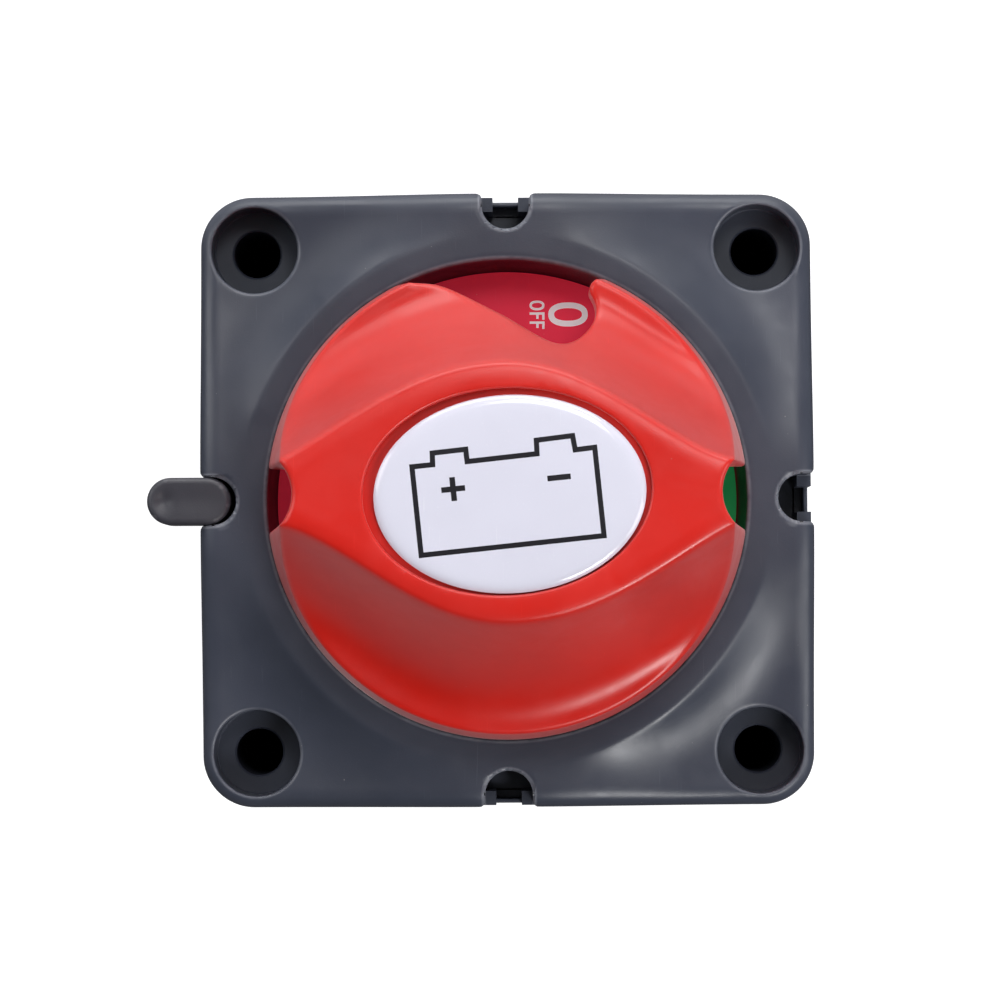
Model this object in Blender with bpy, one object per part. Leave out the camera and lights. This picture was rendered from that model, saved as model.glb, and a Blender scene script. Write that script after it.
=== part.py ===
"""A battery isolator switch for a boat: 69 mm square case, 54 mm red rotary knob, M10 studs at the back.

Frame: +Z is the knob's axis, out of the panel. +Y is up and +X is right as a person faces the
switch. The origin is the centre of the rear mounting plane. Dimensions are in millimetres, and
the scene is in metres. Profiles are lists of (radius, z).
"""

import math

import bmesh
import bpy
from mathutils import Vector

for old in list(bpy.data.objects):
    bpy.data.objects.remove(old, do_unlink=True)

# ---------------------------------------------------------------- shared dimensions (mm)
MM = 0.001  # metres in a millimetre
SHARP_ANGLE = math.radians(35)  # edges steeper than this are shaded sharp

HALF = 34.5  # case half width
CORNER_R = 5.8
WALL = 2.6
Z_FACE = 48.0  # front rim and mid-side flats
HOLE_AT = 28.35  # mounting holes, from the axis, in X and in Y
POST_R = 5.6  # corner posts round the mounting holes
CHAMBER_FLOOR = 27.0
OPENING_HALF, OPENING_TOP = 17.0, 16.0  # cable openings in the side walls
BASE_BOTTOM, BASE_TOP = 20.0, 26.0
BASE_SCREW_AT = 21.5  # from the axis, in X and in Y
FIT = 0.1  # gap between stacked parts
DRIVE = 8.0  # square drive between spindle and knob
CORNERS = ((1, 1), (-1, 1), (-1, -1), (1, -1))
SIDES = (("left", -1), ("right", 1))


# ---------------------------------------------------------------- materials
def material(name, colour, roughness, metallic=0.0):
    made = bpy.data.materials.new(name)
    made.use_nodes = True
    shader = made.node_tree.nodes["Principled BSDF"]
    shader.inputs["Base Color"].default_value = (*colour, 1.0)
    shader.inputs["Roughness"].default_value = roughness
    shader.inputs["Metallic"].default_value = metallic
    return made


SLATE = material("slate_plastic", colour=(0.075, 0.080, 0.105), roughness=0.45)
RED = material("red_plastic", colour=(0.72, 0.035, 0.022), roughness=0.38)
DIAL = material("dial_red", colour=(0.55, 0.02, 0.04), roughness=0.5)
WHITE = material("badge_white", colour=(0.78, 0.78, 0.88), roughness=0.15)
BLACK = material("black_plastic", colour=(0.03, 0.03, 0.033), roughness=0.5)
RUBBER = material("black_rubber", colour=(0.02, 0.02, 0.02), roughness=0.75)
TIN = material("tinned_copper", colour=(0.72, 0.70, 0.66), roughness=0.3, metallic=1.0)
COPPER = material("copper", colour=(0.72, 0.35, 0.2), roughness=0.32, metallic=1.0)
STEEL = material("stainless", colour=(0.6, 0.6, 0.6), roughness=0.28, metallic=1.0)
GREY = material("grey_plastic", colour=(0.10, 0.10, 0.115), roughness=0.5)


# ---------------------------------------------------------------- objects and Booleans
def mesh_object(name, shape, finish, at=(0.0, 0.0, 0.0)):
    """An object from (points, faces) in mm, with its origin at `at`."""
    points, faces = shape
    mesh = bpy.data.meshes.new(name)
    work = bmesh.new()
    verts = [work.verts.new((Vector(point) - Vector(at)) * MM) for point in points]
    for face in faces:
        work.faces.new([verts[i] for i in face])
    bmesh.ops.recalc_face_normals(work, faces=work.faces)
    work.to_mesh(mesh)
    work.free()
    made = bpy.data.objects.new(name, mesh)
    made.location = Vector(at) * MM
    mesh.materials.append(finish)
    bpy.context.scene.collection.objects.link(made)
    return made


def shade(mesh):
    mesh.shade_smooth()
    mesh.set_sharp_from_angle(angle=SHARP_ANGLE)


def solid(name, shape, finish, at=(0.0, 0.0, 0.0)):
    made = mesh_object(name, shape, finish, at)
    shade(made.data)
    return made


def boolean(target, shape, operation):
    """Applies a Boolean with a mesh cutter, and removes the cutter."""
    cutter = mesh_object(target.name + "_cutter", shape, target.data.materials[0])
    step = target.modifiers.new("cut", "BOOLEAN")
    step.operation = operation
    step.solver = "EXACT"
    step.object = cutter
    graph = bpy.context.evaluated_depsgraph_get()
    graph.update()
    result = bpy.data.meshes.new_from_object(target.evaluated_get(graph))
    target.modifiers.remove(step)
    before = target.data
    target.data = result
    bpy.data.meshes.remove(before)
    bpy.data.objects.remove(cutter, do_unlink=True)
    shade(target.data)


def cut(target, *shapes):
    boolean(target, together(*shapes), "DIFFERENCE")


def join(target, *shapes):
    boolean(target, together(*shapes), "UNION")


# ---------------------------------------------------------------- outlines and shapes
def circle(radius, count, centre=(0.0, 0.0), turn=0.0):
    step = 2 * math.pi / count
    return [
        (
            centre[0] + radius * math.cos(turn + i * step),
            centre[1] + radius * math.sin(turn + i * step),
        )
        for i in range(count)
    ]


def ellipse(half_x, half_y, centre, tilt, count):
    found = []
    for i in range(count):
        angle = 2 * math.pi * i / count
        x, y = half_x * math.cos(angle), half_y * math.sin(angle)
        found.append(
            (
                centre[0] + x * math.cos(tilt) - y * math.sin(tilt),
                centre[1] + x * math.sin(tilt) + y * math.cos(tilt),
            )
        )
    return found


def rounded(half_x, half_y, radius, steps, x=0.0):
    """Outline of a rounded rectangle centred on (x, 0)."""
    right, left = x + half_x - radius, x - half_x + radius
    top = half_y - radius
    path = []
    for corner_x, corner_y, start in (
        (right, top, 0), (left, top, 90), (left, -top, 180), (right, -top, 270)
    ):
        for i in range(steps + 1):
            angle = math.radians(start + 90 * i / steps)
            path.append((corner_x + radius * math.cos(angle), corner_y + radius * math.sin(angle)))
    return path


def raised(outline, z):
    return [(x, y, z) for x, y in outline]


def loft(rings, wrap=False):
    """Faces through rings of equal length. The ends are capped, or joined if the loft wraps."""
    count = len(rings[0])
    points = [point for ring in rings for point in ring]
    faces = []
    spans = len(rings) if wrap else len(rings) - 1
    for j in range(spans):
        low, high = j * count, ((j + 1) % len(rings)) * count
        for i in range(count):
            after = (i + 1) % count
            faces.append((low + i, low + after, high + after, high + i))
    if not wrap:
        faces.append(tuple(reversed(range(count))))
        faces.append(tuple(range((len(rings) - 1) * count, len(rings) * count)))
    return points, faces


def fanned(rings):
    """A loft whose first and last rings close to a point on the Z axis."""
    points, faces = loft(rings)
    count, total = len(rings[0]), len(points)
    faces = faces[:-2]
    for ring, start in ((rings[0], 0), (rings[-1], total - count)):
        points.append((0.0, 0.0, sum(point[2] for point in ring) / count))
        for i in range(count):
            faces.append((start + (i + 1) % count, start + i, len(points) - 1))
    return points, faces


def turned(profile, count, centre=(0.0, 0.0), wrap=False):
    """A turned solid with flat ends, or a ring if `wrap` closes the profile."""
    return loft([raised(circle(radius, count, centre), z) for radius, z in profile], wrap)


def cylinder(radius, low, high, count, centre=(0.0, 0.0)):
    return turned([(radius, low), (radius, high)], count, centre)


def along_x(x0, x1, radius, z, count):
    """A cylinder lying along X."""
    return loft([[(x, y, z + up) for up, y in circle(radius, count)] for x in (x0, x1)])


def prism(outline, low, high):
    return loft([raised(outline, low), raised(outline, high)])


def block(x0, x1, y0, y1, z0, z1):
    return prism([(x0, y0), (x1, y0), (x1, y1), (x0, y1)], z0, z1)


def block_pair(x0, x1, half_y, z0, z1):
    """A block on the right, and its mirror image on the left."""
    return together(
        block(x0, x1, -half_y, half_y, z0, z1), block(-x1, -x0, -half_y, half_y, z0, z1)
    )


def together(*shapes):
    """Several shapes that don't touch, as one set of points and faces."""
    points, faces = [], []
    for more_points, more_faces in shapes:
        start = len(points)
        points += list(more_points)
        faces += [tuple(i + start for i in face) for face in more_faces]
    return points, faces


def turned_about_z(shape, quarter):
    """The shape turned by a number of quarter turns about Z."""
    points, faces = shape
    cosine, sine = ((1, 0), (0, 1), (-1, 0), (0, -1))[quarter]
    return [(cosine * x - sine * y, sine * x + cosine * y, z) for x, y, z in points], faces


def helix(radius, turns, steps):
    """(share of the length, and the two offsets across it) at `steps` points per turn."""
    for i in range(turns * steps + 1):
        share = i / (turns * steps)
        angle = 2 * math.pi * turns * share
        yield share, radius * math.cos(angle), radius * math.sin(angle)


def tube(path, radius, sides, normal=(0, 0, 1)):
    """A round bar along a path of points, with flat ends."""
    rings = []
    for i, here in enumerate(path):
        ahead = Vector(path[min(i + 1, len(path) - 1)]) - Vector(path[max(i - 1, 0)])
        ahead.normalize()
        across = ahead.cross(Vector(normal)).normalized()
        up = across.cross(ahead).normalized()
        rings.append(
            [
                tuple(
                    Vector(here)
                    + radius * math.cos(2 * math.pi * k / sides) * across
                    + radius * math.sin(2 * math.pi * k / sides) * up
                )
                for k in range(sides)
            ]
        )
    return loft(rings)


# ---------------------------------------------------------------- case outline
# Degrees from a corner at which the case has points, closest together at the corner.
CASE_STEPS = (45, 40, 36.5, 31, 25, 19, 13, 8.03, 5.24, 2.6, 0)


def case_angles():
    found = []
    for quarter in range(4):
        middle = 45.0 + 90.0 * quarter
        found += [middle - step for step in CASE_STEPS]
        found += [middle + step for step in reversed(CASE_STEPS[1:-1])]
    return [math.radians(angle) for angle in found]


def from_mid_side(angle):
    """Degrees between a direction and the nearest mid-side."""
    return abs((math.degrees(angle) + 45.0) % 90.0 - 45.0)


def square_radius(angle, half, corner):
    """Distance from the axis to a rounded square's outline, in direction `angle`."""
    turn = math.radians(from_mid_side(angle))
    flat = half / math.cos(turn)
    if flat * math.sin(turn) <= half - corner:
        return flat
    centre = (half - corner) * math.sqrt(2)
    off = math.radians(45.0) - turn
    return centre * math.cos(off) + math.sqrt(
        max(corner**2 - (centre * math.sin(off)) ** 2, 0.0)
    )


def posted_radius(angle, half, corner, post):
    """As square_radius, but stopping at the corner post."""
    off = math.radians(45.0 - from_mid_side(angle))
    reach = HOLE_AT * math.sqrt(2)
    side = square_radius(angle, half, corner)
    inside = post**2 - (reach * math.sin(off)) ** 2
    if inside <= 0:
        return side
    return min(side, reach * math.cos(off) - math.sqrt(inside))


def case_ring(radius, height):
    """A ring of points from radius(angle) and height(angle, radius)."""
    ring = []
    for angle in case_angles():
        reach = radius(angle)
        ring.append((reach * math.cos(angle), reach * math.sin(angle), height(angle, reach)))
    return ring


def level(z):
    return lambda angle, radius: z


def round_at(radius):
    return lambda angle: radius


# ---------------------------------------------------------------- housing
FLAT_R = 29.9  # outer edge of the flat ring round the well
FLAT_TURN = 8.0  # degrees either side of mid-side that stay flush
CORNER_DROP = 3.3  # the corner lands lie this much below Z_FACE
COVE_LENGTH = 9.0  # radial length of the fall to a corner land
COVE_SWING, COVE_OUT = 1.8, 2.5  # powers of the fall round the case and outward
EDGE_R = 1.5  # rounding of the case's front edge
RIM_R = 0.8  # rounding of the well's mouth
ROUND_MID = 0.29  # place of a rounding's middle ring, as a share of its radius
WELL_R = 26.2  # the well that the dial lies in
PART_TOP, PART_BOTTOM = 38.5, 36.5  # the partition under the dial
SHAFT_HOLE_R = 7.0
CHAMBER_R = 25.2  # contact chamber

HOLE_R, BORE_R, BORE_DEPTH = 2.65, 4.85, 6.0  # mounting holes
NOTCH_W, NOTCH_DEEP, NOTCH_DROP = 5.36, 4.1, 7.0  # joining notches at mid-sides
SLOT_W, SLOT_WALL, SLOT_BOTTOM = 2.9, 1.6, 33.0  # T-slot under each notch
POCKET_R, POCKET_AT = 2.6, 23.4  # round pockets in the chamber wall
POCKET_LOW, POCKET_HIGH = 30.8, 36.1
PILOT_R, PILOT_TOP = 1.35, 34.0  # base screws' holes
OUTSIDE, BELOW, ABOVE = HALF + 2, -1.0, 60.0  # cutters run past the case to here


def face_height(angle, radius):
    """The front of the case: a flat ring, flush mid-sides and a cove at each corner."""
    turn = from_mid_side(angle)
    if radius <= FLAT_R or turn <= FLAT_TURN:
        return Z_FACE
    swing = 1.0 - (1.0 - (turn - FLAT_TURN) / (45.0 - FLAT_TURN)) ** COVE_SWING
    out = 1.0 - (1.0 - min((radius - FLAT_R) / COVE_LENGTH, 1.0)) ** COVE_OUT
    return Z_FACE - CORNER_DROP * swing * out


def side(inset):
    return lambda angle: square_radius(angle, HALF, CORNER_R) - inset


def land(share):
    """Part of the way from the flat ring to the rounded edge."""
    return lambda angle: FLAT_R + (side(EDGE_R)(angle) - FLAT_R) * share


def edge_level(drop):
    return lambda angle, radius: face_height(angle, side(EDGE_R)(angle)) - drop


def cavity(angle):
    return posted_radius(angle, HALF - WALL, CORNER_R - WALL, POST_R)


def build_housing():
    # Up the outside, over the front, down the well and chamber, and out of the rear cavity.
    stations = (
        (side(0.0), level(0.0)),
        (side(0.0), edge_level(EDGE_R)),
        (side(EDGE_R * ROUND_MID), edge_level(EDGE_R * ROUND_MID)),
        (side(EDGE_R), edge_level(0.0)),
        (land(0.62), face_height),
        (land(0.28), face_height),
        (round_at(FLAT_R), face_height),
        (round_at(WELL_R + RIM_R), level(Z_FACE)),
        (round_at(WELL_R + RIM_R * ROUND_MID), level(Z_FACE - RIM_R * ROUND_MID)),
        (round_at(WELL_R), level(Z_FACE - RIM_R)),
        (round_at(WELL_R), level(PART_TOP)),
        (round_at(SHAFT_HOLE_R), level(PART_TOP)),
        (round_at(SHAFT_HOLE_R), level(PART_BOTTOM)),
        (round_at(CHAMBER_R), level(PART_BOTTOM)),
        (round_at(CHAMBER_R), level(CHAMBER_FLOOR)),
        (cavity, level(CHAMBER_FLOOR)),
        (cavity, level(0.0)),
    )
    rings = [case_ring(radius, height) for radius, height in stations]
    housing = solid("housing", loft(rings, wrap=True), SLATE)

    notch_r = NOTCH_W / 2
    notch_floor = Z_FACE - NOTCH_DROP
    notch_arc = [
        (
            HALF - NOTCH_DEEP + notch_r - notch_r * math.cos(math.radians(turn)),
            notch_r * math.sin(math.radians(turn)),
        )
        for turn in range(90, -91, -15)
    ]
    notch = [(OUTSIDE, -notch_r), (OUTSIDE, notch_r)] + notch_arc
    # The wide part of the T-slot lies just within the notch's outline.
    slot_x = HALF - SLOT_WALL
    slot_head = [(slot_x, -notch_r + 0.01), (slot_x, notch_r - 0.01)]
    slot_head += [(x + 0.01, y * 0.99) for x, y in notch_arc[1:-1]]
    slot_neck = block(
        slot_x - 0.4, OUTSIDE, -SLOT_W / 2, SLOT_W / 2, SLOT_BOTTOM, notch_floor + 0.7
    )
    panel_recess = block(
        HALF - 0.9, OUTSIDE, -OPENING_HALF - 1, OPENING_HALF + 1, BELOW, OPENING_TOP + 1
    )
    opening = block(
        HALF - WALL - 1, HALF - 0.5, -OPENING_HALF, OPENING_HALF, BELOW - 1, OPENING_TOP
    )
    bore_floor = Z_FACE - CORNER_DROP - BORE_DEPTH
    hole = [(HOLE_R, BELOW), (HOLE_R, bore_floor), (BORE_R, bore_floor), (BORE_R, ABOVE)]

    first, deeper, through = [], [], []
    for quarter, (sign_x, sign_y) in enumerate(CORNERS):
        screw_at = (sign_x * BASE_SCREW_AT, sign_y * BASE_SCREW_AT)
        pocket = cylinder(POCKET_R, POCKET_LOW, POCKET_HIGH, 12, (POCKET_AT, 0.0))
        first += [
            turned(hole, 24, (sign_x * HOLE_AT, sign_y * HOLE_AT)),
            turned_about_z(prism(notch, notch_floor, ABOVE), quarter),
            turned_about_z(panel_recess, quarter),
            turned_about_z(pocket, quarter),
            cylinder(PILOT_R, BASE_TOP, PILOT_TOP, 12, screw_at),
        ]
        deeper += [
            turned_about_z(prism(slot_head, SLOT_BOTTOM, notch_floor + 0.5), quarter),
            turned_about_z(opening, quarter),
        ]
        through.append(turned_about_z(slot_neck, quarter))
    cut(housing, *first)
    cut(housing, *deeper)
    cut(housing, *through)


# ---------------------------------------------------------------- dial
DIAL_R, DIAL_HOLE_R = 25.8, 7.3
DIAL_TOP, DIAL_THICK = 40.0, 1.2


def build_dial():
    low = DIAL_TOP - DIAL_THICK
    profile = [(DIAL_HOLE_R, low), (DIAL_R, low), (DIAL_R, DIAL_TOP), (DIAL_HOLE_R, DIAL_TOP)]
    solid("dial_plate", turned(profile, 48, wrap=True), DIAL)


# ---------------------------------------------------------------- stud base, gasket and screws
STUD_AT, STUD_R, STUD_END = 15.5, 4.95, 2.5  # M10
BASE_GAP = 0.3  # between the base and the housing's cavity
DIVIDER_HALF_X, DIVIDER_HALF_Y = 1.25, 20.0  # wall between the studs
SCREW_HOLE_R, SCREW_BORE_R, SCREW_BORE_DEPTH = 1.7, 3.2, 2.2
GASKET_R = 25.6  # its round opening
GASKET_SCALE = 0.995  # its outer outline, against the base's
SCREW_SEAT = 22.1  # front of the screw's head
BASE_SCREW = [
    (2.3, 20.2), (2.8, 20.6), (2.8, SCREW_SEAT), (1.2, SCREW_SEAT), (1.2, 32.6), (0.5, 33.4)
]


def base_edge(angle):
    half, corner = HALF - WALL - BASE_GAP, CORNER_R - WALL - BASE_GAP
    return posted_radius(angle, half, corner, POST_R + BASE_GAP)


def build_base():
    outline = [(x, y) for x, y, _ in case_ring(base_edge, level(0.0))]
    screw_places = [(x * BASE_SCREW_AT, y * BASE_SCREW_AT) for x, y in CORNERS]

    base = solid("stud_base", prism(outline, BASE_BOTTOM, BASE_TOP), BLACK)
    low, high = BASE_BOTTOM - 5, BASE_TOP + 4
    seat = BASE_BOTTOM + SCREW_BORE_DEPTH
    hole = [(SCREW_BORE_R, low), (SCREW_BORE_R, seat), (SCREW_HOLE_R, seat), (SCREW_HOLE_R, high)]
    cut(
        base,
        *[cylinder(STUD_R + 0.2, low, high, 32, (sign * STUD_AT, 0)) for _, sign in SIDES],
        *[turned(hole, 16, place) for place in screw_places],
    )
    divider = block(
        -DIVIDER_HALF_X, DIVIDER_HALF_X, -DIVIDER_HALF_Y, DIVIDER_HALF_Y, 0.0, BASE_BOTTOM + 1.0
    )
    join(base, divider)

    low, high = BASE_TOP + FIT, CHAMBER_FLOOR - FIT
    outer = [(x * GASKET_SCALE, y * GASKET_SCALE) for x, y in outline]
    rings = [
        raised(outer, low),
        raised(outer, high),
        case_ring(round_at(GASKET_R), level(high)),
        case_ring(round_at(GASKET_R), level(low)),
    ]
    gasket = solid("base_gasket", loft(rings, wrap=True), RUBBER)
    cut(gasket, *[cylinder(SCREW_HOLE_R, 25.0, 28.0, 12, place) for place in screw_places])

    for number, place in enumerate(screw_places, 1):
        screw = turned(BASE_SCREW, 12, place)
        solid(f"base_screw_{number}", screw, STEEL, at=(*place, SCREW_SEAT))


# ---------------------------------------------------------------- studs and their hardware
HEAD_R, HEAD_TOP = 7.5, 29.0
HEAD_SEAT = BASE_TOP + FIT
STUD_CHAMFER, HEAD_CHAMFER = 0.8, 0.4
STUD = [
    (STUD_R - STUD_CHAMFER, STUD_END), (STUD_R, STUD_END + STUD_CHAMFER),
    (STUD_R, HEAD_SEAT), (HEAD_R, HEAD_SEAT),
    (HEAD_R, HEAD_TOP - HEAD_CHAMFER), (HEAD_R - HEAD_CHAMFER, HEAD_TOP),
]
WASHER_HOLE_R = 5.3
FLAT_LOW, FLAT_HIGH = 17.9, 19.9
FLAT_WASHER = [
    (WASHER_HOLE_R, FLAT_LOW), (9.8, FLAT_LOW), (10.0, 18.1),
    (10.0, 19.7), (9.8, FLAT_HIGH), (WASHER_HOLE_R, FLAT_HIGH),
]
SPRING_R, SPRING_LOW, SPRING_HIGH = 9.0, 15.9, 17.4
SPRING_SECTION = (
    (WASHER_HOLE_R, SPRING_LOW), (SPRING_R, SPRING_LOW),
    (SPRING_R, SPRING_HIGH), (WASHER_HOLE_R, SPRING_HIGH),
)
SPRING_START, SPRING_SWEEP, SPRING_STEPS = 8, 344, 20  # degrees, and steps round
SPRING_RISE = 0.7
NUT_FLAT, NUT_HOLE_R = 8.5, 5.2  # half the width across flats, and the hole
NUT_LOW, NUT_HIGH = 7.2, 15.2


def spring_washer(stud_x):
    """A split washer whose two ends stand apart."""
    rings = []
    for i in range(SPRING_STEPS + 1):
        angle = math.radians(SPRING_START + SPRING_SWEEP * i / SPRING_STEPS)
        lift = SPRING_RISE * (i / SPRING_STEPS - 0.5)
        cosine, sine = math.cos(angle), math.sin(angle)
        rings.append(
            [(stud_x + radius * cosine, radius * sine, z + lift) for radius, z in SPRING_SECTION]
        )
    return loft(rings)


def build_stud(name, sign):
    x = sign * STUD_AT
    centre = (x, 0)

    def middle(low, high):
        return (x, 0, (low + high) / 2)

    solid(f"stud_{name}", turned(STUD, 32, centre), TIN, at=(x, 0, BASE_TOP))
    flat = turned(FLAT_WASHER, 24, centre, wrap=True)
    solid(f"flat_washer_{name}", flat, STEEL, at=middle(FLAT_LOW, FLAT_HIGH))
    solid(f"spring_washer_{name}", spring_washer(x), STEEL, at=middle(SPRING_LOW, SPRING_HIGH))
    hexagon = circle(NUT_FLAT / math.cos(math.radians(30)), 6, centre, math.radians(30))
    hex_prism = prism(hexagon, NUT_LOW, NUT_HIGH)
    nut = solid(f"hex_nut_{name}", hex_prism, STEEL, at=middle(NUT_LOW, NUT_HIGH))
    cut(nut, cylinder(NUT_HOLE_R, 0.0, 20.0, 32, centre))


# ---------------------------------------------------------------- knob form
KNOB_R = 26.9
KNOB_BASE = 48.6  # underside of the knob's flange
BAR_TOP = 74.6
DRAFT = 0.0926  # radius lost per mm of height
KNOB_EDGE = 0.45  # bevel between the upper surface and the side
CREST_GAP = 0.6  # least distance from the grip's edge to the rim
SCOOP_DEEP, SCOOP_WIDE, SCOOP_POWER = 18.6, 11.5, 2.0
BAR_WAIST, BAR_SWELL, BAR_HALF = 3.3, 10.7, 25.4  # the grip's half width along its length
STRAIGHT_POWER, CURVED_POWER = 1.38, 1.85  # taper of the grip's edges
# Degrees from the right end of the grip, over the first quarter.
KNOB_STEPS = (0, 4, 8.2, 9.6, 11.5, 14.5, 18.5, 24, 31, 39, 48, 58, 68, 79)
GRIP_SHARES = (0.5, 1.0)  # rings between the axis and the grip's edge
SCOOP_SHARES = (0.12, 0.3, 0.52, 0.76, 1.0)  # rings between the grip's edge and the rim


def knob_angles():
    half = [*KNOB_STEPS, 90] + [180 - step for step in reversed(KNOB_STEPS[1:])]
    return [math.radians(angle) for angle in half + [angle + 180 for angle in half]]


def grip_half(x, y):
    """Half width of the grip, whose edges taper differently at their two ends, as a slight S."""
    power = STRAIGHT_POWER if x * y < 0 else CURVED_POWER
    return BAR_WAIST + BAR_SWELL * max(1.0 - (x / BAR_HALF) ** 2, 0.0) ** power


def knob_height(radius, angle):
    """The knob's upper surface: a flat grip with a finger scoop on each side."""
    x, y = radius * math.cos(angle), radius * math.sin(angle)
    off = abs(y) - grip_half(x, y)
    if off <= 0:
        return BAR_TOP
    share = min(off / SCOOP_WIDE, 1.0)
    return BAR_TOP - SCOOP_DEEP * (1.0 - (1.0 - share) ** SCOOP_POWER)


def knob_side(z):
    return KNOB_R - DRAFT * (z - Z_FACE)


def knob_rim(angle):
    """Radius at which the upper surface meets the drafted side."""
    radius = KNOB_R
    for _ in range(30):
        radius = 0.5 * (radius + knob_side(knob_height(radius, angle)))
    return radius


def crest_radius(angle):
    """Radius of the grip's edge in a direction, kept inside the rim."""
    rim = knob_rim(angle)
    low, high = 0.0, rim
    sine, cosine = math.sin(angle), math.cos(angle)
    if high * abs(sine) <= grip_half(high * cosine, high * sine):
        return high - CREST_GAP
    for _ in range(40):
        middle = 0.5 * (low + high)
        if middle * abs(sine) > grip_half(middle * cosine, middle * sine):
            high = middle
        else:
            low = middle
    return min(high, rim - CREST_GAP)


def knob_shape(inset, low):
    """The knob's outer form down to `low`, moved in and down by `inset`."""
    angles = knob_angles()
    count = len(angles)
    crest = [crest_radius(a) for a in angles]
    rim = [knob_rim(a) - KNOB_EDGE for a in angles]
    rings = [([c * share for c in crest], [BAR_TOP] * count) for share in GRIP_SHARES]
    for share in SCOOP_SHARES:
        radii = [c + (r - c) * share for c, r in zip(crest, rim)]
        rings.append((radii, [knob_height(r, a) for r, a in zip(radii, angles)]))
    edge = [knob_height(r + KNOB_EDGE, a) - KNOB_EDGE for r, a in zip(rim, angles)]
    rings.append(([knob_side(z) for z in edge], edge))
    rings.append(([KNOB_R] * count, [low + inset] * count))

    def inner(radius):
        return max(radius - inset * min(1.0, 2 * radius / KNOB_R), 0.3)

    return fanned(
        [
            [
                (inner(r) * math.cos(a), inner(r) * math.sin(a), z - inset)
                for a, r, z in zip(angles, radii, heights)
            ]
            for radii, heights in rings
        ]
    )


# ---------------------------------------------------------------- openings in the knob
OPENING_WALL = 2.2  # wall left round each opening
CUT_REACH = 31.0  # openings run out past the knob's edge to here
KNOB_CUT = (40.0, 80.0)  # heights between which cutters pass through the knob
END_NOTCH_HALF, END_NOTCH_R, END_NOTCH_AT = 3.45, 5.0, 22.9
HOOK_CENTRE, HOOK_R = (6.7, 20.0), 2.8
HOOK_START, HOOK_END = math.radians(-116.5), math.radians(-8)
# (x, y) of the window's left end, its curve's start and control, and its right end
WINDOW_LEFT = (-15.5, 24.95)
WINDOW_BEND = ((-10.6, 24.1), (-4.14, 22.98))
WINDOW_RIGHT = [(9.05, 21.9), (9.1, 23.1), (10.3, 24.4), (12.0, 25.6)]


def bent(start, control, end, count):
    """Points along a quadratic curve."""
    return [
        tuple(
            (1 - t) ** 2 * first + 2 * t * (1 - t) * pull + t * t * last
            for first, pull, last in zip(start, control, end)
        )
        for t in (i / count for i in range(count + 1))
    ]


def hook_point(angle):
    x, y = HOOK_CENTRE
    return (x + HOOK_R * math.cos(angle), y + HOOK_R * math.sin(angle))


def window_path(grow):
    """The wave-shaped window in the knob's upper edge, with its hooked end on the right."""
    path = [WINDOW_LEFT] + bent(*WINDOW_BEND, hook_point(HOOK_START), 8)
    path += [hook_point(HOOK_START + (HOOK_END - HOOK_START) * i / 7) for i in range(1, 8)]
    path += WINDOW_RIGHT
    if grow:
        moved = []
        for i, (x, y) in enumerate(path):
            before, after = path[max(i - 1, 0)], path[min(i + 1, len(path) - 1)]
            run, rise = after[0] - before[0], after[1] - before[1]
            size = math.hypot(run, rise)
            moved.append((x + grow * rise / size, y - grow * run / size))
        path = moved
    return path + [(path[-1][0] + 1.0, CUT_REACH), (path[0][0] - 1.0, CUT_REACH)]


def end_notch(grow):
    """The rounded notch at the right end of the grip."""
    half, radius = END_NOTCH_HALF + grow, END_NOTCH_R + grow
    centre = END_NOTCH_AT + END_NOTCH_R
    widest = math.asin(half / radius)
    path = []
    for i in range(9):
        angle = -widest + 2 * widest * i / 8
        path.append((centre - radius * math.cos(angle), -radius * math.sin(angle)))
    return path + [(CUT_REACH, -half), (CUT_REACH, half)]


def knob_openings(grow=0.0):
    notch = prism(end_notch(grow), *KNOB_CUT)
    return [prism(window_path(grow), *KNOB_CUT), notch, turned_about_z(notch, 2)]


# ---------------------------------------------------------------- knob, badge and screw
KNOB_WALL = 2.4
HUB_R, HUB_BOTTOM, HUB_TOP = 8.8, 41.5, 60.0
HUB_CORE_R = 8.6  # left solid in the middle of the knob's hollow
DRIVE_GAP = 0.2
BADGE_A, BADGE_B, BADGE_TILT = 14.65, 10.7, math.radians(3.0)
BADGE_AT = (0.5, 0.0)
RECESS_AT, RECESS_DEPTH = (0.0, 0.1), 1.0
BADGE_STEPS = ((0.0, 73.8), (0.0, 74.5), (-0.25, 74.8), (-2.5, 75.0))  # (growth, z)
KNOB_SCREW_SEAT = 62.2
KNOB_SCREW = [
    (1.6, 50.0), (2.3, 50.8), (2.3, KNOB_SCREW_SEAT),
    (4.2, KNOB_SCREW_SEAT), (4.2, 64.0), (3.2, 65.0),
]


def hollow_shape():
    """The space inside the knob, clear of the openings and the hub."""
    low = KNOB_BASE - 2.0 - KNOB_WALL
    hollow = mesh_object("knob_hollow", knob_shape(KNOB_WALL, low), RED)
    cut(hollow, *knob_openings(OPENING_WALL), cylinder(HUB_CORE_R, *KNOB_CUT, 32))
    points = [tuple(vertex.co / MM) for vertex in hollow.data.vertices]
    faces = [tuple(face.vertices) for face in hollow.data.polygons]
    bpy.data.objects.remove(hollow, do_unlink=True)
    return points, faces


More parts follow.
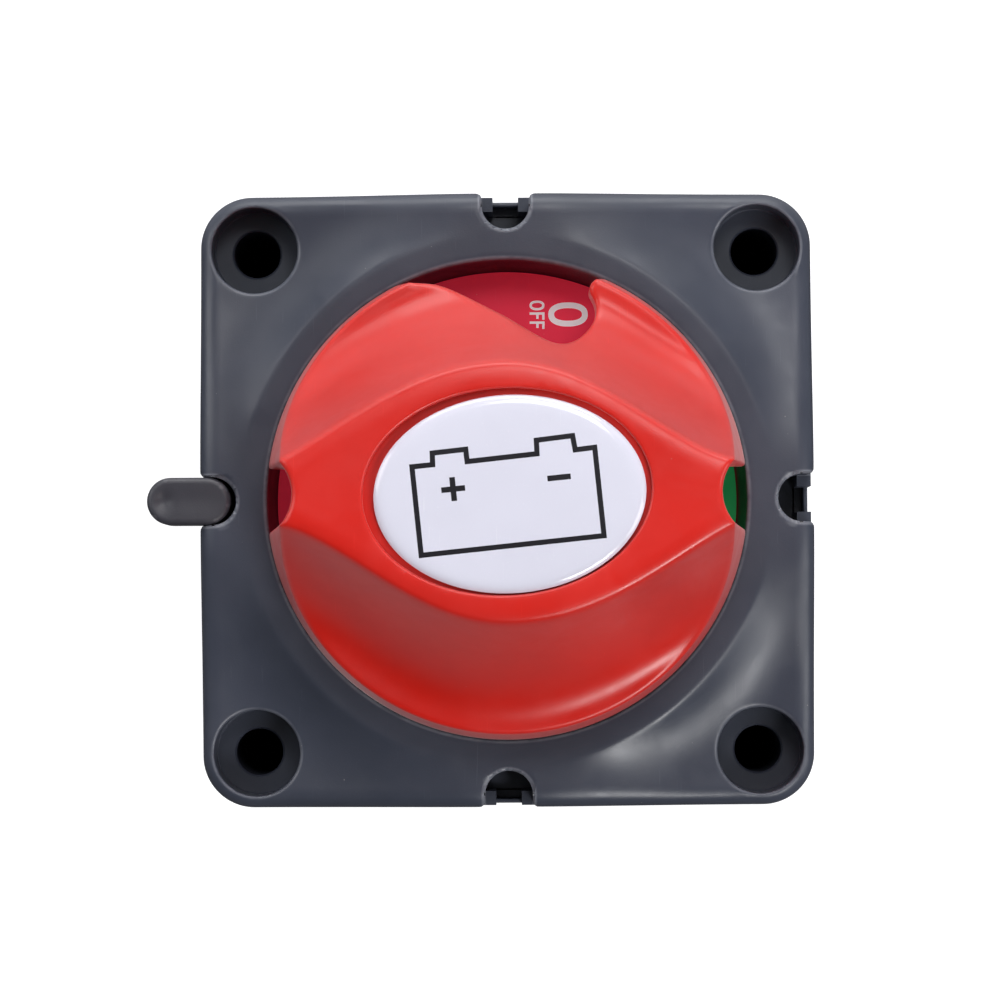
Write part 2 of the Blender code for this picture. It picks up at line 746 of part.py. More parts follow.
def build_knob():
    knob = solid("knob", knob_shape(0.0, KNOB_BASE), RED)
    cut(knob, hollow_shape())
    recess = ellipse(BADGE_A + 0.75, BADGE_B + 0.3, RECESS_AT, BADGE_TILT, 48)
    cut(knob, *knob_openings(), prism(recess, BAR_TOP - RECESS_DEPTH, KNOB_CUT[1]))
    join(knob, cylinder(HUB_R, HUB_BOTTOM, HUB_TOP, 28))
    # Screw head's bore, square socket, then the screw's hole between them.
    cut(knob, cylinder(4.6, 62.0, 78.0, 24))
    half = DRIVE / 2 + DRIVE_GAP
    cut(knob, block(-half, half, -half, half, 40.0, 60.3))
    cut(knob, cylinder(2.6, 59.0, 63.0, 20))


def build_badge():
    rings = [
        raised(ellipse(BADGE_A + grow, BADGE_B + grow, BADGE_AT, BADGE_TILT, 48), z)
        for grow, z in BADGE_STEPS
    ]
    solid("knob_badge", loft(rings), WHITE, at=(0, 0, BAR_TOP))


def build_knob_screw():
    solid("knob_screw", turned(KNOB_SCREW, 20), STEEL, at=(0, 0, KNOB_SCREW_SEAT))


# ---------------------------------------------------------------- spindle and O-ring
DETENT_Z = 33.65  # axis of the detent balls and springs
BALL_AT, BALL_R = 22.9, 2.0
ORING_Z, ORING_R, ORING_SECTION_R = 37.5, 6.45, 0.5
SPINDLE = [  # a flange, then the shaft with its O-ring groove
    (23.0, 34.6), (23.0, 36.2), (6.6, 36.2), (6.6, 36.9),
    (5.8, 36.9), (5.8, 38.1), (6.6, 38.1), (6.6, 41.0),
]


def build_spindle():
    spindle = solid("spindle", turned(SPINDLE, 40), GREY)
    half = DRIVE / 2
    # Square drive, a cheek on each side of the bridge, and the detent arms.
    join(
        spindle,
        block(-half, half, -half, half, 40.5, 60.0),
        block_pair(5.9, 8.2, 6, 30.6, 35.4),
        block_pair(12.0, 24.2, 3.4, 31.4, 35.9),
    )
    # The contact spring's bore from behind and the knob screw's from the front.
    cut(spindle, cylinder(4.2, 33.0, 42.0, 24), cylinder(2.5, 49.0, 62.0, 20))
    bores = [along_x(x0, x0 + 12.0, 2.15, DETENT_Z, 20) for x0 in (15.0, -27.0)]
    cut(spindle, *bores)


def build_oring():
    section = [
        (ORING_R + ORING_SECTION_R * math.cos(angle), ORING_Z + ORING_SECTION_R * math.sin(angle))
        for angle in (math.radians(turn) for turn in range(0, 360, 60))
    ]
    solid("shaft_oring", turned(section, 28, wrap=True), RUBBER, at=(0, 0, ORING_Z))


# ---------------------------------------------------------------- contact bridge and springs
BRIDGE_BOTTOM = HEAD_TOP + 0.7  # clear of the stud heads
BRIDGE_TOP = BRIDGE_BOTTOM + 2.6
COIL_LOW, COIL_HIGH = BRIDGE_TOP + 0.55, 41.4


def build_bridge():
    outline = rounded(5.5, 19.0, radius=2.5, steps=3)
    bridge = prism(outline, BRIDGE_BOTTOM, BRIDGE_TOP)
    solid("contact_bridge", bridge, COPPER, at=(0, 0, BRIDGE_BOTTOM))


def build_contact_spring():
    path = [
        (x, y, COIL_LOW + (COIL_HIGH - COIL_LOW) * share)
        for share, x, y in helix(radius=3.2, turns=5, steps=12)
    ]
    solid("contact_spring", tube(path, radius=0.4, sides=5), STEEL, at=(0, 0, COIL_HIGH))


def build_detent(name, sign):
    ball_x = sign * BALL_AT
    rings = []
    for i in range(1, 8):
        angle = math.radians(-90 + 180 * i / 8)
        outline = circle(BALL_R * math.cos(angle), 12, (ball_x, 0))
        rings.append(raised(outline, DETENT_Z + BALL_R * math.sin(angle)))
    solid(f"detent_ball_{name}", loft(rings), STEEL, at=(ball_x, 0, DETENT_Z))

    path = [
        (sign * (15.6 + 4.7 * share), y, DETENT_Z + up)
        for share, y, up in helix(radius=1.5, turns=4, steps=9)
    ]
    spring = tube(path, radius=0.25, sides=4, normal=(1, 0, 0))
    solid(f"detent_spring_{name}", spring, STEEL, at=(sign * 15.4, 0, DETENT_Z))


# ---------------------------------------------------------------- joining key, on the left side
KEY_AT, KEY_HALF, KEY_W = 35.7, 4.7, 5.3
KEY_BOTTOM = 33.6
KEY_HEAD_ANGLES = (-62, -45, -25, 0, 25, 45, 62)


def build_key():
    radius = KEY_W / 2
    cap = rounded(KEY_HALF, radius, radius=radius - 0.01, steps=8, x=-KEY_AT)
    shrunk = [(-KEY_AT + (x + KEY_AT) * 0.93, y * 0.9) for x, y in cap]
    rings = [raised(cap, 41.6), raised(cap, Z_FACE - 0.4), raised(shrunk, Z_FACE)]
    key = solid("joining_key", loft(rings), GREY, at=(-KEY_AT, 0, Z_FACE))
    join(key, block(-39.6, -31.8, -1.15, 1.15, KEY_BOTTOM, 42.0))
    head = [
        (-KEY_AT + (KEY_HALF - radius + radius * math.cos(angle)), radius * math.sin(angle))
        for angle in map(math.radians, KEY_HEAD_ANGLES)
    ]
    mirrored = [(-2 * KEY_AT - x, y) for x, y in reversed(head)]
    join(key, *[prism(outline, KEY_BOTTOM, 41.9) for outline in (head, mirrored)])


# ---------------------------------------------------------------- removable side panels
PANEL_SKIN, PANEL_LIP = 0.6, 0.7  # outer plate's thickness, and its overlap of the opening
TONGUE_GAP = 0.3


def build_panel(quarter, name):
    plate_half = OPENING_HALF + PANEL_LIP
    plate = block(HALF - PANEL_SKIN, HALF, -plate_half, plate_half, 0.0, OPENING_TOP + PANEL_LIP)
    panel = solid(f"side_panel_{name}", turned_about_z(plate, quarter), SLATE)
    half = OPENING_HALF - TONGUE_GAP
    tongue = block(HALF - WALL, HALF - 0.3, -half, half, 0.4, OPENING_TOP - TONGUE_GAP)
    join(panel, turned_about_z(tongue, quarter))


# ---------------------------------------------------------------- the whole switch
build_housing()
build_dial()
build_base()
for side_name, side_sign in SIDES:
    build_stud(side_name, side_sign)
build_knob()
build_badge()
build_knob_screw()
build_spindle()
build_oring()
build_bridge()
build_contact_spring()
for side_name, side_sign in SIDES:
    build_detent(side_name, side_sign)
build_key()
for side_quarter, side_name in enumerate(("right", "top", "left", "bottom")):
    build_panel(side_quarter, side_name)
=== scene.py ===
"""A square battery switch: a grey case with a red rotary knob, a domed badge and a colour dial.

The case stands on z = 0 with its face towards +Z. Its right side is +X and its top side +Y; a
joining key is set in the left side, and two studs point down inside, on the X axis.
Modelling lengths are millimetres; stage, light and camera lengths are metres.
A "quarter" is a number of quarter turns anticlockwise about Z, counted from the right side.
"""

import math

import bmesh
import bpy
import numpy as np
from mathutils import Matrix, Vector, kdtree
from mathutils.geometry import delaunay_2d_cdt

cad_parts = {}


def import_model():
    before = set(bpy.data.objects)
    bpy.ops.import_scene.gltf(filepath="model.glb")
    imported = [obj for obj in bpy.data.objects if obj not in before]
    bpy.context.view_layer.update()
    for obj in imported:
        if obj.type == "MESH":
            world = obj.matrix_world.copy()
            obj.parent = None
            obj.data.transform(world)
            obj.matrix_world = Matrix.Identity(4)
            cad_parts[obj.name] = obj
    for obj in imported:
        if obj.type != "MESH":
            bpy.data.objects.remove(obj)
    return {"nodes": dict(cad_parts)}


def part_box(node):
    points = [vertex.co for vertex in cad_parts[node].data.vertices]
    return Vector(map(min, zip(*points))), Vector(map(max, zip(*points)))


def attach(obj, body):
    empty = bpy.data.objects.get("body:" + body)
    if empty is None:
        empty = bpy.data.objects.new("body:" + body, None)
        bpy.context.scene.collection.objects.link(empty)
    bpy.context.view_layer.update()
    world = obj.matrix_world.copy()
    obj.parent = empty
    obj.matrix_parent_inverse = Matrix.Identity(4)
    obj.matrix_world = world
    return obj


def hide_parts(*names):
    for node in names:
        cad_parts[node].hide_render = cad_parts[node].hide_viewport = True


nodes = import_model()["nodes"]
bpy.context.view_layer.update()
MM = 0.001


def high_corner(node):
    return np.array(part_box(node)[1]) / MM


# ------------------------------------------------------------------ driving dimensions
HALF = float(high_corner("housing")[0])  # middle of the case to each side
FACE_Z = float(high_corner("housing")[2])
BAR_TOP = float(high_corner("knob")[2])
DIAL_TOP = float(high_corner("dial_plate")[2])
DIAL_LOW = 38.85

# the case and its face
CORNER_R = 5.8
CORNER_DROP = 3.3  # how far the face falls at each corner
FLAT_R = 29.9  # the face is flat inside this radius
EDGE_R = 1.9
WALL = 2.6
INNER_WALL = HALF - WALL
WELL_R = 26.85
RIM_R = 0.45  # rounding of the well's rim
CHAMBER_LOW = 27.0

# mounting holes and their posts
CORNERS = ((1, 1), (-1, 1), (-1, -1), (1, -1))
HOLE_AT = 28.35
HOLE_R = 2.65
BORE_R = 4.85
BORE_DEPTH = 6.0
BORE_EDGE = 0.38
POST_R = 5.6
HOLES = [(x * HOLE_AT, y * HOLE_AT) for x, y in CORNERS]

# the notch in the middle of each side, and the narrower slot below it
NOTCH_W = 5.36
NOTCH_R = NOTCH_W / 2
NOTCH_DEEP = 4.1
NOTCH_X = HALF - NOTCH_DEEP + NOTCH_R  # centre of its round end
NOTCH_Z = FACE_Z - 7.0
NOTCH_EDGE = 0.38
MOUTH_HALF = NOTCH_R + 0.45
SLOT_HALF = 2.9 / 2
SLOT_WALL = 1.6
SLOT_Z = 33.0

# the cable opening in each side, and the rebate round it
OPENING_HALF = 17.0
OPENING_TOP = 16.0
REBATE_HALF = OPENING_HALF + 1.0
REBATE_TOP = OPENING_TOP + 1.0
REBATE_X = HALF - 0.9

# the knob: a bar-shaped grip with a scoop on each side
KNOB_R = 26.9
KNOB_BASE = 48.6
DRAFT = 0.0926
SCOOP_DEEP = 18.6
SCOOP_WIDE = 11.5
BAR_WAIST = 3.3
BAR_SWELL = 10.7
BAR_HALF = 25.4
CROWN = 0.32  # fall of the grip's top towards its edges

# the badge and its recess
BADGE_TILT = math.radians(3.0)
BADGE_RX, BADGE_RY = 15.4, 11.0
BADGE_AT = (0.0, 0.1)
RECESS_Z = 73.6
DOME_A, DOME_B = 14.5, 10.54
DOME_AT = (0.30, -0.17)

# studs and the screws of their base
STUD_AT = 15.5
STUDS = ((-STUD_AT, 0.0), (STUD_AT, 0.0))
SCREWS = [(x * 21.5, y * 21.5) for x, y in CORNERS]
THREAD_PITCH = 1.5

# angles, in degrees, at which a rounded edge has rows of points
ROLL_STOPS = (8, 18, 30, 42, 55, 70, 90)


# ------------------------------------------------------------------ mesh tools
class Shell:
    """Collects patches of one closed surface and welds them where they meet."""

    def __init__(self):
        self.points, self.faces, self.slots = [], [], []
        self.total = 0

    def add(self, points, faces, slots=None):
        points = np.asarray(points, float).reshape(-1, 3)
        self.points.append(points)
        self.faces += [[int(i) + self.total for i in face] for face in faces]
        self.slots += [0] * len(faces) if slots is None else list(slots)
        self.total += len(points)

    def loft(self, rings, wrap=False):
        rings = [np.asarray(ring, float) for ring in rings]
        count = len(rings[0])
        here = np.arange(count)
        ahead = (here + 1) % count
        faces = []
        for j in range(len(rings) if wrap else len(rings) - 1):
            start, end = j * count, (j + 1) % len(rings) * count
            faces += zip(start + here, start + ahead, end + ahead, end + here)
        self.add(np.concatenate(rings), faces)

    def cap(self, ring, flip=False):
        order = range(len(ring))
        self.add(ring, [order[::-1] if flip else order])

    def solid(self, rings):
        """A loft closed at both ends."""
        self.loft(rings)
        self.cap(rings[0], flip=True)
        self.cap(rings[-1])

    def make(self, name, materials, body, replaces, slot, smooth=32.0):
        """Welds the patches into an object, puts it in its body and hides the CAD part that it
        replaces.

        Edges that turn by more than `smooth` degrees are left sharp.
        """
        work = bmesh.new()
        verts = [work.verts.new(p) for p in np.concatenate(self.points) * MM]
        for face, material in zip(self.faces, self.slots):
            work.faces.new([verts[i] for i in face]).material_index = material
        bmesh.ops.remove_doubles(work, verts=work.verts, dist=2e-7)
        bmesh.ops.dissolve_degenerate(work, edges=work.edges, dist=1e-8)
        bmesh.ops.recalc_face_normals(work, faces=work.faces)
        mesh = bpy.data.meshes.new(name)
        work.to_mesh(mesh)
        work.free()
        for material in materials:
            mesh.materials.append(material)
        mesh.shade_smooth()
        mesh.set_sharp_from_angle(angle=math.radians(smooth))
        piece = bpy.data.objects.new(name, mesh)
        bpy.context.scene.collection.objects.link(piece)
        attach(piece, body)
        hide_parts(replaces)


def resample(path, step, closed=True):
    """Points about `step` apart along a path, keeping its corners."""
    path = np.asarray(path, float)
    ends = np.vstack([path, path[:1]]) if closed else path
    found = []
    for i, length in enumerate(np.hypot(*np.diff(ends, axis=0).T)):
        count = max(int(round(length / step)), 1)
        share = np.arange(count)[:, None] / count
        found.append(ends[i] * (1 - share) + ends[i + 1] * share)
    found = np.concatenate(found)
    return found if closed else np.vstack([found, path[-1:]])


def even(path, count):
    """`count` points evenly along an open path, with both its ends."""
    along = np.r_[0, np.cumsum(np.hypot(*np.diff(path, axis=0).T))]
    want = np.linspace(0, along[-1], count)
    return np.c_[np.interp(want, along, path[:, 0]), np.interp(want, along, path[:, 1])]


def softened(loop, times):
    for _ in range(times):
        loop = 0.5 * loop + 0.25 * (np.roll(loop, 1, axis=0) + np.roll(loop, -1, axis=0))
    return loop


def round_angles(count):
    return 2 * np.pi * np.arange(count) / count


def polar(radius, angles, at=(0.0, 0.0)):
    return np.c_[at[0] + radius * np.cos(angles), at[1] + radius * np.sin(angles)]


def circle(radius, count, at=(0.0, 0.0)):
    """`radius` is one value, or one for each point."""
    return polar(radius, round_angles(count), at)


def at_height(loop, z):
    return np.c_[loop, np.full(len(loop), float(z))]


def levels(loop, *heights):
    return [at_height(loop, z) for z in heights]


def turned_rings(profile, count, at=(0.0, 0.0)):
    """A ring for each (radius, height) of a profile about an upright axis."""
    return [at_height(circle(radius, count, at), z) for radius, z in profile]


def outward(loop):
    """Unit normals of a closed loop that runs anticlockwise."""
    ahead = np.roll(loop, -1, axis=0) - np.roll(loop, 1, axis=0)
    normal = np.c_[ahead[:, 1], -ahead[:, 0]]
    return normal / np.maximum(np.hypot(*normal.T), 1e-12)[:, None]


def mirrored(path):
    """A path reflected in the X axis and reversed."""
    return path[::-1] * (1, -1)


def quarter_turned(points, quarter):
    cos, sin = ((1, 0), (0, 1), (-1, 0), (0, -1))[quarter % 4]
    points = np.asarray(points, float)
    out = points.copy()
    out[:, 0] = cos * points[:, 0] - sin * points[:, 1]
    out[:, 1] = sin * points[:, 0] + cos * points[:, 1]
    return out


def tilted(local, at, tilt):
    x, y = np.asarray(local, float).T
    cos, sin = math.cos(tilt), math.sin(tilt)
    return np.c_[at[0] + x * cos - y * sin, at[1] + x * sin + y * cos]


def superellipse(half_x, half_y, power, count, at=(0.0, 0.0), tilt=0.0):
    angles = round_angles(count)
    cos, sin = np.cos(angles), np.sin(angles)
    x = half_x * np.sign(cos) * np.abs(cos) ** (2 / power)
    y = half_y * np.sign(sin) * np.abs(sin) ** (2 / power)
    return tilted(np.c_[x, y], at, tilt)


def rounded_box(x0, x1, y0, y1, radius, per=6):
    """A box outline with `per` steps round each corner."""
    path = []
    for x, y, start in (
        (x1 - radius, y1 - radius, 0),
        (x0 + radius, y1 - radius, 90),
        (x0 + radius, y0 + radius, 180),
        (x1 - radius, y0 + radius, 270),
    ):
        for i in range(per + 1):
            angle = math.radians(start + 90 * i / per)
            path.append((x + radius * math.cos(angle), y + radius * math.sin(angle)))
    return np.array(path)


def rounded_profile(points, radius, steps=4):
    """A profile with its inner corners rounded."""
    points = [np.asarray(p, float) for p in points]
    out = [tuple(points[0])]
    for before, corner, after in zip(points, points[1:], points[2:]):
        back, ahead = before - corner, after - corner
        back_length, ahead_length = np.hypot(*back), np.hypot(*ahead)
        reach = min(radius, 0.45 * back_length, 0.45 * ahead_length)
        start = corner + back / back_length * reach
        end = corner + ahead / ahead_length * reach
        for k in range(steps + 1):
            t = k / steps
            out.append(tuple((1 - t) ** 2 * start + 2 * t * (1 - t) * corner + t * t * end))
    out.append(tuple(points[-1]))
    return out


def hex_grid(low, high, step):
    rows = []
    rise = step * math.sqrt(3) / 2
    for j, y in enumerate(np.arange(low[1], high[1] + rise, rise)):
        x = np.arange(low[0], high[0] + step, step) + (step / 2 if j % 2 else 0)
        rows.append(np.c_[x, np.full(len(x), y)])
    return np.concatenate(rows)


def nearest(points, kept):
    """For each point, the index of the nearest kept point and the distance to it."""
    tree = kdtree.KDTree(len(kept))
    for i, (x, y) in enumerate(kept):
        tree.insert((x, y, 0.0), i)
    tree.balance()
    found = [tree.find((x, y, 0.0)) for x, y in points]
    return np.array([hit[1] for hit in found]), np.array([hit[2] for hit in found])


def spaced(points, kept, gap):
    """Those points at least `gap` from every kept point."""
    return points[nearest(points, kept)[1] >= gap]


def thinned(points, cell):
    """The first point in each cell of a square grid, so that rows do not crowd one another."""
    _, first = np.unique(np.round(points / cell).astype(int), axis=0, return_index=True)
    return points[np.sort(first)]


def loop_distance(points, loop):
    """Distance from each point to a closed polyline."""
    near = nearest(points, loop)[0]
    out = np.full(len(points), 1e9)
    for back, ahead in ((-1, 0), (0, 1)):
        start, end = loop[(near + back) % len(loop)], loop[(near + ahead) % len(loop)]
        edge = end - start
        share = ((points - start) * edge).sum(1) / np.maximum((edge * edge).sum(1), 1e-18)
        share = np.clip(share, 0, 1)
        out = np.minimum(out, np.hypot(*(points - start - share[:, None] * edge).T))
    return out


def inside(points, loop):
    """Which points lie inside a closed polyline."""
    x, y = points[:, 0], points[:, 1]
    found = np.zeros(len(points), bool)
    for (x1, y1), (x2, y2) in zip(loop, np.roll(loop, -1, axis=0)):
        if y1 != y2:
            crosses = (y1 > y) != (y2 > y)
            found ^= crosses & (x < (x2 - x1) * (y - y1) / (y2 - y1) + x1)
    return found


def skin(loops, holes=(), extra=()):
    """Triangles over a flat region bounded by loops[0], less the loops in `holes`.

    Returns (points, faces, the slice of the points that each loop takes).
    """
    points = np.concatenate([*loops, extra] if len(extra) else loops)
    edges, slices, start = [], [], 0
    for loop in loops:
        count = len(loop)
        edges += [(start + i, start + (i + 1) % count) for i in range(count)]
        slices.append(slice(start, start + count))
        start += count
    verts, _, faces, origin, _, _ = delaunay_2d_cdt(
        [Vector((float(x), float(y))) for x, y in points], edges, [], 0, 1e-6, True
    )
    for vert, sources in zip(verts, origin):
        if not sources:
            raise RuntimeError(f"skin: boundary lines cross near {tuple(vert)}")
    faces = np.array([[origin[i][0] for i in face] for face in faces if len(face) == 3])
    centre = points[faces].mean(axis=1)
    keep = inside(centre, loops[0])
    for loop in holes:
        keep &= ~inside(centre, loop)
    return points, faces[keep], slices


def roll_in(degrees):
    """How far in from an edge of radius 1 its rounding has come, at an angle."""
    return 1 - math.cos(math.radians(degrees))


def rolled(distance, radius):
    """How far a rounded edge falls, at a distance in from the edge."""
    distance = np.clip(distance, 0.0, radius)
    return radius - np.sqrt(np.maximum(radius**2 - (radius - distance) ** 2, 0.0))


def soft_ramp(x, width):
    """As max(x, 0), but turning smoothly over about `width` on each side of nought."""
    x = np.asarray(x, float) / width
    return width * (np.log1p(np.exp(-np.abs(x))) + np.maximum(x, 0.0))


def off_axis(degrees):
    """Angle from the nearest of the four axis directions."""
    return abs((degrees + 45.0) % 90.0 - 45.0)


# ------------------------------------------------------------------ node graphs
class Graph:
    """Short ways to add nodes to a shader tree."""

    def __init__(self, tree):
        self.tree = tree

    def feed(self, socket, value):
        """Sets a socket to a value or to another node's output."""
        if hasattr(value, "is_linked"):
            self.tree.links.new(value, socket)
        else:
            socket.default_value = value

    def node(self, kind, inputs=None, **settings):
        node = self.tree.nodes.new("ShaderNode" + kind)
        for name, value in settings.items():
            setattr(node, name, value)
        for key, value in (inputs or {}).items():
            self.feed(node.inputs[key], value)
        return node

    def span(self, value, low, high, to_low=0.0, to_high=1.0, kind="SMOOTHSTEP"):
        """Maps low..high to to_low..to_high, held beyond both ends."""
        ends = {"From Min": low, "From Max": high, "To Min": to_low, "To Max": to_high}
        node = self.node("MapRange", ends | {"Value": value}, interpolation_type=kind, clamp=True)
        return node.outputs[0]

    def math(self, operation, first, second=0.0):
        return self.node("Math", {0: first, 1: second}, operation=operation).outputs[0]

    def times(self, first, second):
        return self.math("MULTIPLY", first, second)

    def mix(self, share, first, second):
        inputs = {"Factor": share, "A": first, "B": second}
        node = self.node("Mix", inputs, data_type="RGBA")
        return next(o for o in node.outputs if o.type == "RGBA")

    def split(self, vector):
        return self.node("SeparateXYZ", {0: vector}).outputs


class Look(Graph):
    """A node material, with object coordinates scaled to millimetres."""

    def __init__(self, name):
        self.material = bpy.data.materials.new(name)
        self.material.use_nodes = True
        super().__init__(self.material.node_tree)
        self.tree.nodes.clear()
        out = self.node("OutputMaterial")
        self.shader = self.node("BsdfPrincipled")
        self.feed(out.inputs["Surface"], self.shader.outputs[0])
        place = self.node("TexCoord").outputs["Object"]
        scaled = self.node("VectorMath", operation="SCALE")
        self.feed(scaled.inputs["Scale"], 1000.0)
        self.feed(scaled.inputs[0], place)
        self.mm = scaled.outputs[0]

    def set(self, name, value):
        self.feed(self.shader.inputs[name], value)

    def placed(self, seed, stretch=(1.0, 1.0, 1.0), turn=0.0):
        """Millimetre coordinates moved by a seed, stretched, and turned about Z."""
        inputs = {
            "Location": (seed * 7.3, seed * -4.1, seed * 2.7),
            "Scale": stretch,
            "Rotation": (0.0, 0.0, turn),
            "Vector": self.mm,
        }
        return self.node("Mapping", inputs).outputs[0]

    def noise(self, scale, seed, detail=3.0, rough=0.6, distortion=0.0, **placing):
        inputs = {
            "Scale": scale,
            "Detail": detail,
            "Roughness": rough,
            "Distortion": distortion,
            "Vector": self.placed(seed, **placing),
        }
        return self.node("TexNoise", inputs).outputs["Fac"]

    def cells(self, scale, seed):
        inputs = {"Scale": scale, "Vector": self.placed(seed)}
        return self.node("TexVoronoi", inputs).outputs["Distance"]

    def tint(self, tone, mask, amount, colour):
        """Mixes `amount` of a colour into a tone where the mask is 1."""
        return self.mix(self.times(mask, amount), tone, colour)

    def set_bump(self, height, distance):
        inputs = {"Strength": 1.0, "Distance": distance * MM, "Height": height}
        self.set("Normal", self.node("Bump", inputs).outputs[0])

    def lips(self):
        """Masks: 1 along the rims of the well, bores and notches, for a painted highlight, and 1 in
        the well, for painted shade.
        """
        x, y, z = self.split(self.mm)
        x, y = self.math("ABSOLUTE", x), self.math("ABSOLUTE", y)
        far, near = self.math("MAXIMUM", x, y), self.math("MINIMUM", x, y)

        def away(x, y, radius):
            square = self.math("ADD", self.times(x, x), self.times(y, y))
            return self.math("SUBTRACT", self.math("SQRT", square), radius)

        def rim(gap, wide):
            starts = self.span(gap, low=-0.12, high=0.02)
            return self.times(starts, self.span(gap, low=wide, high=wide * 0.45))

        past_end = self.math("MINIMUM", self.math("SUBTRACT", far, NOTCH_X), 0.0)
        notch = away(past_end, near, NOTCH_R)
        hole_x, hole_y = (self.math("SUBTRACT", v, HOLE_AT) for v in (x, y))
        bore = away(hole_x, hole_y, BORE_R)
        well = away(x, y, WELL_R)
        rim_highlight = self.math("MAXIMUM", rim(notch, wide=0.55), self.times(rim(bore, wide=0.45), 0.55))
        rim_highlight = self.math("MAXIMUM", rim_highlight, rim(well, wide=0.62))
        # only where the surface faces up
        facing = self.split(self.node("NewGeometry").outputs["Normal"])
        rim_highlight = self.times(rim_highlight, self.span(facing[2], low=0.10, high=0.42))
        # painted shade: the inside of the well above z = 37
        within, above = self.span(well, low=0.1, high=-0.08), self.span(z, low=36.0, high=37.0)
        return rim_highlight, self.times(within, above)

    def scratches(self, seed):
        """Sparse fine hairlines in two directions: 0.5 on a scratch, 0 elsewhere."""
        both = []
        for k, turn in enumerate((0.5, 2.1)):
            lines = self.noise(
                scale=1.0, detail=1.0, rough=0.4, stretch=(7.0, 0.18, 0.6), turn=turn + seed,
                seed=seed + k
            )
            thin = self.span(lines, low=0.715, high=0.735)
            patch = self.noise(scale=0.12, detail=2.0, rough=0.5, seed=seed + 5 + k)
            both.append(self.times(thin, self.span(patch, low=0.55, high=0.65)))
        return self.times(self.math("MAXIMUM", *both), 0.5)


def srgb(*colour):
    """A linear colour from 0-255 sRGB values."""
    shares = [value / 255.0 for value in colour]
    linear = [v / 12.92 if v <= 0.04045 else ((v + 0.055) / 1.055) ** 2.4 for v in shares]
    return (*linear, 1.0)


def shade(colour, factor, lift=0.0):
    return (*(min(c * factor + lift, 1.0) for c in colour[:3]), 1.0)


# ------------------------------------------------------------------ materials
DUST = (0.55, 0.53, 0.5, 1.0)


def moulded_plastic(
    name, colour, rough, grain, seed, mottle, dust,
    grain_scale=5.0, spec=0.5, subsurface=0.0, coat=0.0, lighter=1.35,
    edge=0.0, edge_lift=0.06, rims=0.0, glow=0.0, haze=0.0,
):
    """Injection-moulded plastic: eroded grain, mottle, hairlines and specks of dust.

    grain is the bump's depth in mm; lighter, how pale the specks are; edge and rims, how much
    painted highlight goes on convex edges and on the case's rims, by edge_lift (rims also paints
    shade into the well); glow, how strongly the material glows, as painted light; haze, the sheen.
    """
    look = Look(name)
    highlight_tone = shade(colour, 1.5, edge_lift)
    broad = look.noise(scale=0.06, seed=seed)
    dark, light = shade(colour, 1 - mottle), shade(colour, 1 + mottle)
    tone = look.mix(look.span(broad, low=0.3, high=0.7), dark, light)
    speck = look.noise(scale=3.2, detail=2.0, rough=0.7, seed=seed + 1)
    speck = look.span(speck, low=0.62, high=0.72)
    tone = look.tint(tone, speck, amount=0.10, colour=shade(colour, lighter, lift=0.01))
    scuff = look.scratches(seed + 2)
    tone = look.tint(tone, scuff, amount=0.35, colour=shade(colour, 1.6, lift=0.05))
    motes = look.span(look.cells(scale=0.55, seed=seed + 3), low=0.045, high=0.02)
    patch = look.noise(scale=0.3, detail=2.0, rough=0.5, seed=seed + 4)
    motes = look.times(motes, look.span(patch, low=0.5, high=0.62))
    tone = look.tint(tone, motes, amount=dust, colour=DUST)
    if edge:
        # painted highlight: convex edges are lightened as if they caught the light
        pointed = look.node("NewGeometry").outputs["Pointiness"]
        convex = look.span(pointed, low=0.515, high=0.60)
        tone = look.tint(tone, convex, amount=edge, colour=highlight_tone)
    if rims:
        # painted highlight along the rims of the well, bores and notches, made patchy by noise
        rim_highlight, recess = look.lips()
        highlight_breakup = look.noise(scale=0.5, seed=seed + 12)
        highlight_breakup = look.span(highlight_breakup, low=0.25, high=0.65, to_low=0.45)
        tone = look.tint(tone, look.times(rim_highlight, highlight_breakup), amount=rims, colour=highlight_tone)
        # painted shade: the well's wall is darkened, and its specular turned down
        tone = look.tint(tone, recess, amount=0.7, colour=shade(colour, 0.2))
        spec = look.span(recess, low=0.0, high=1.0, to_low=spec, to_high=0.08)
    look.set("Base Color", tone)
    smear = look.noise(scale=0.16, detail=4.0, rough=0.62, distortion=0.6, seed=seed + 6)
    gloss = look.span(smear, low=0.3, high=0.7, to_low=rough - 0.05, to_high=rough + 0.06)
    # scratches and dust are rougher
    gloss = look.math("ADD", gloss, look.times(scuff, 0.12))
    gloss = look.math("ADD", gloss, look.times(motes, 0.3))
    look.set("Roughness", gloss)
    fine = look.noise(scale=grain_scale, rough=0.65, seed=seed + 8)
    wave = look.noise(scale=0.22, detail=1.0, rough=0.5, seed=seed + 9)
    look.set_bump(look.math("ADD", fine, look.times(wave, 2.5)), grain)
    look.set("Specular IOR Level", spec)
    if subsurface:
        look.set("Subsurface Weight", subsurface)
        look.set("Subsurface Radius", (1.0, 0.25, 0.15))
        look.set("Subsurface Scale", 0.9 * MM)
    # painted light: the material glows with its own colour
    if glow:
        look.set("Emission Color", tone)
        look.set("Emission Strength", glow)
    if haze:
        look.set("Sheen Weight", haze)
        look.set("Sheen Roughness", 0.45)
        look.set("Sheen Tint", (1.0, 0.96, 0.96, 1.0))
    if coat:
        look.set("Coat Weight", coat)
        look.set("Coat Roughness", 0.08)
    return look.material


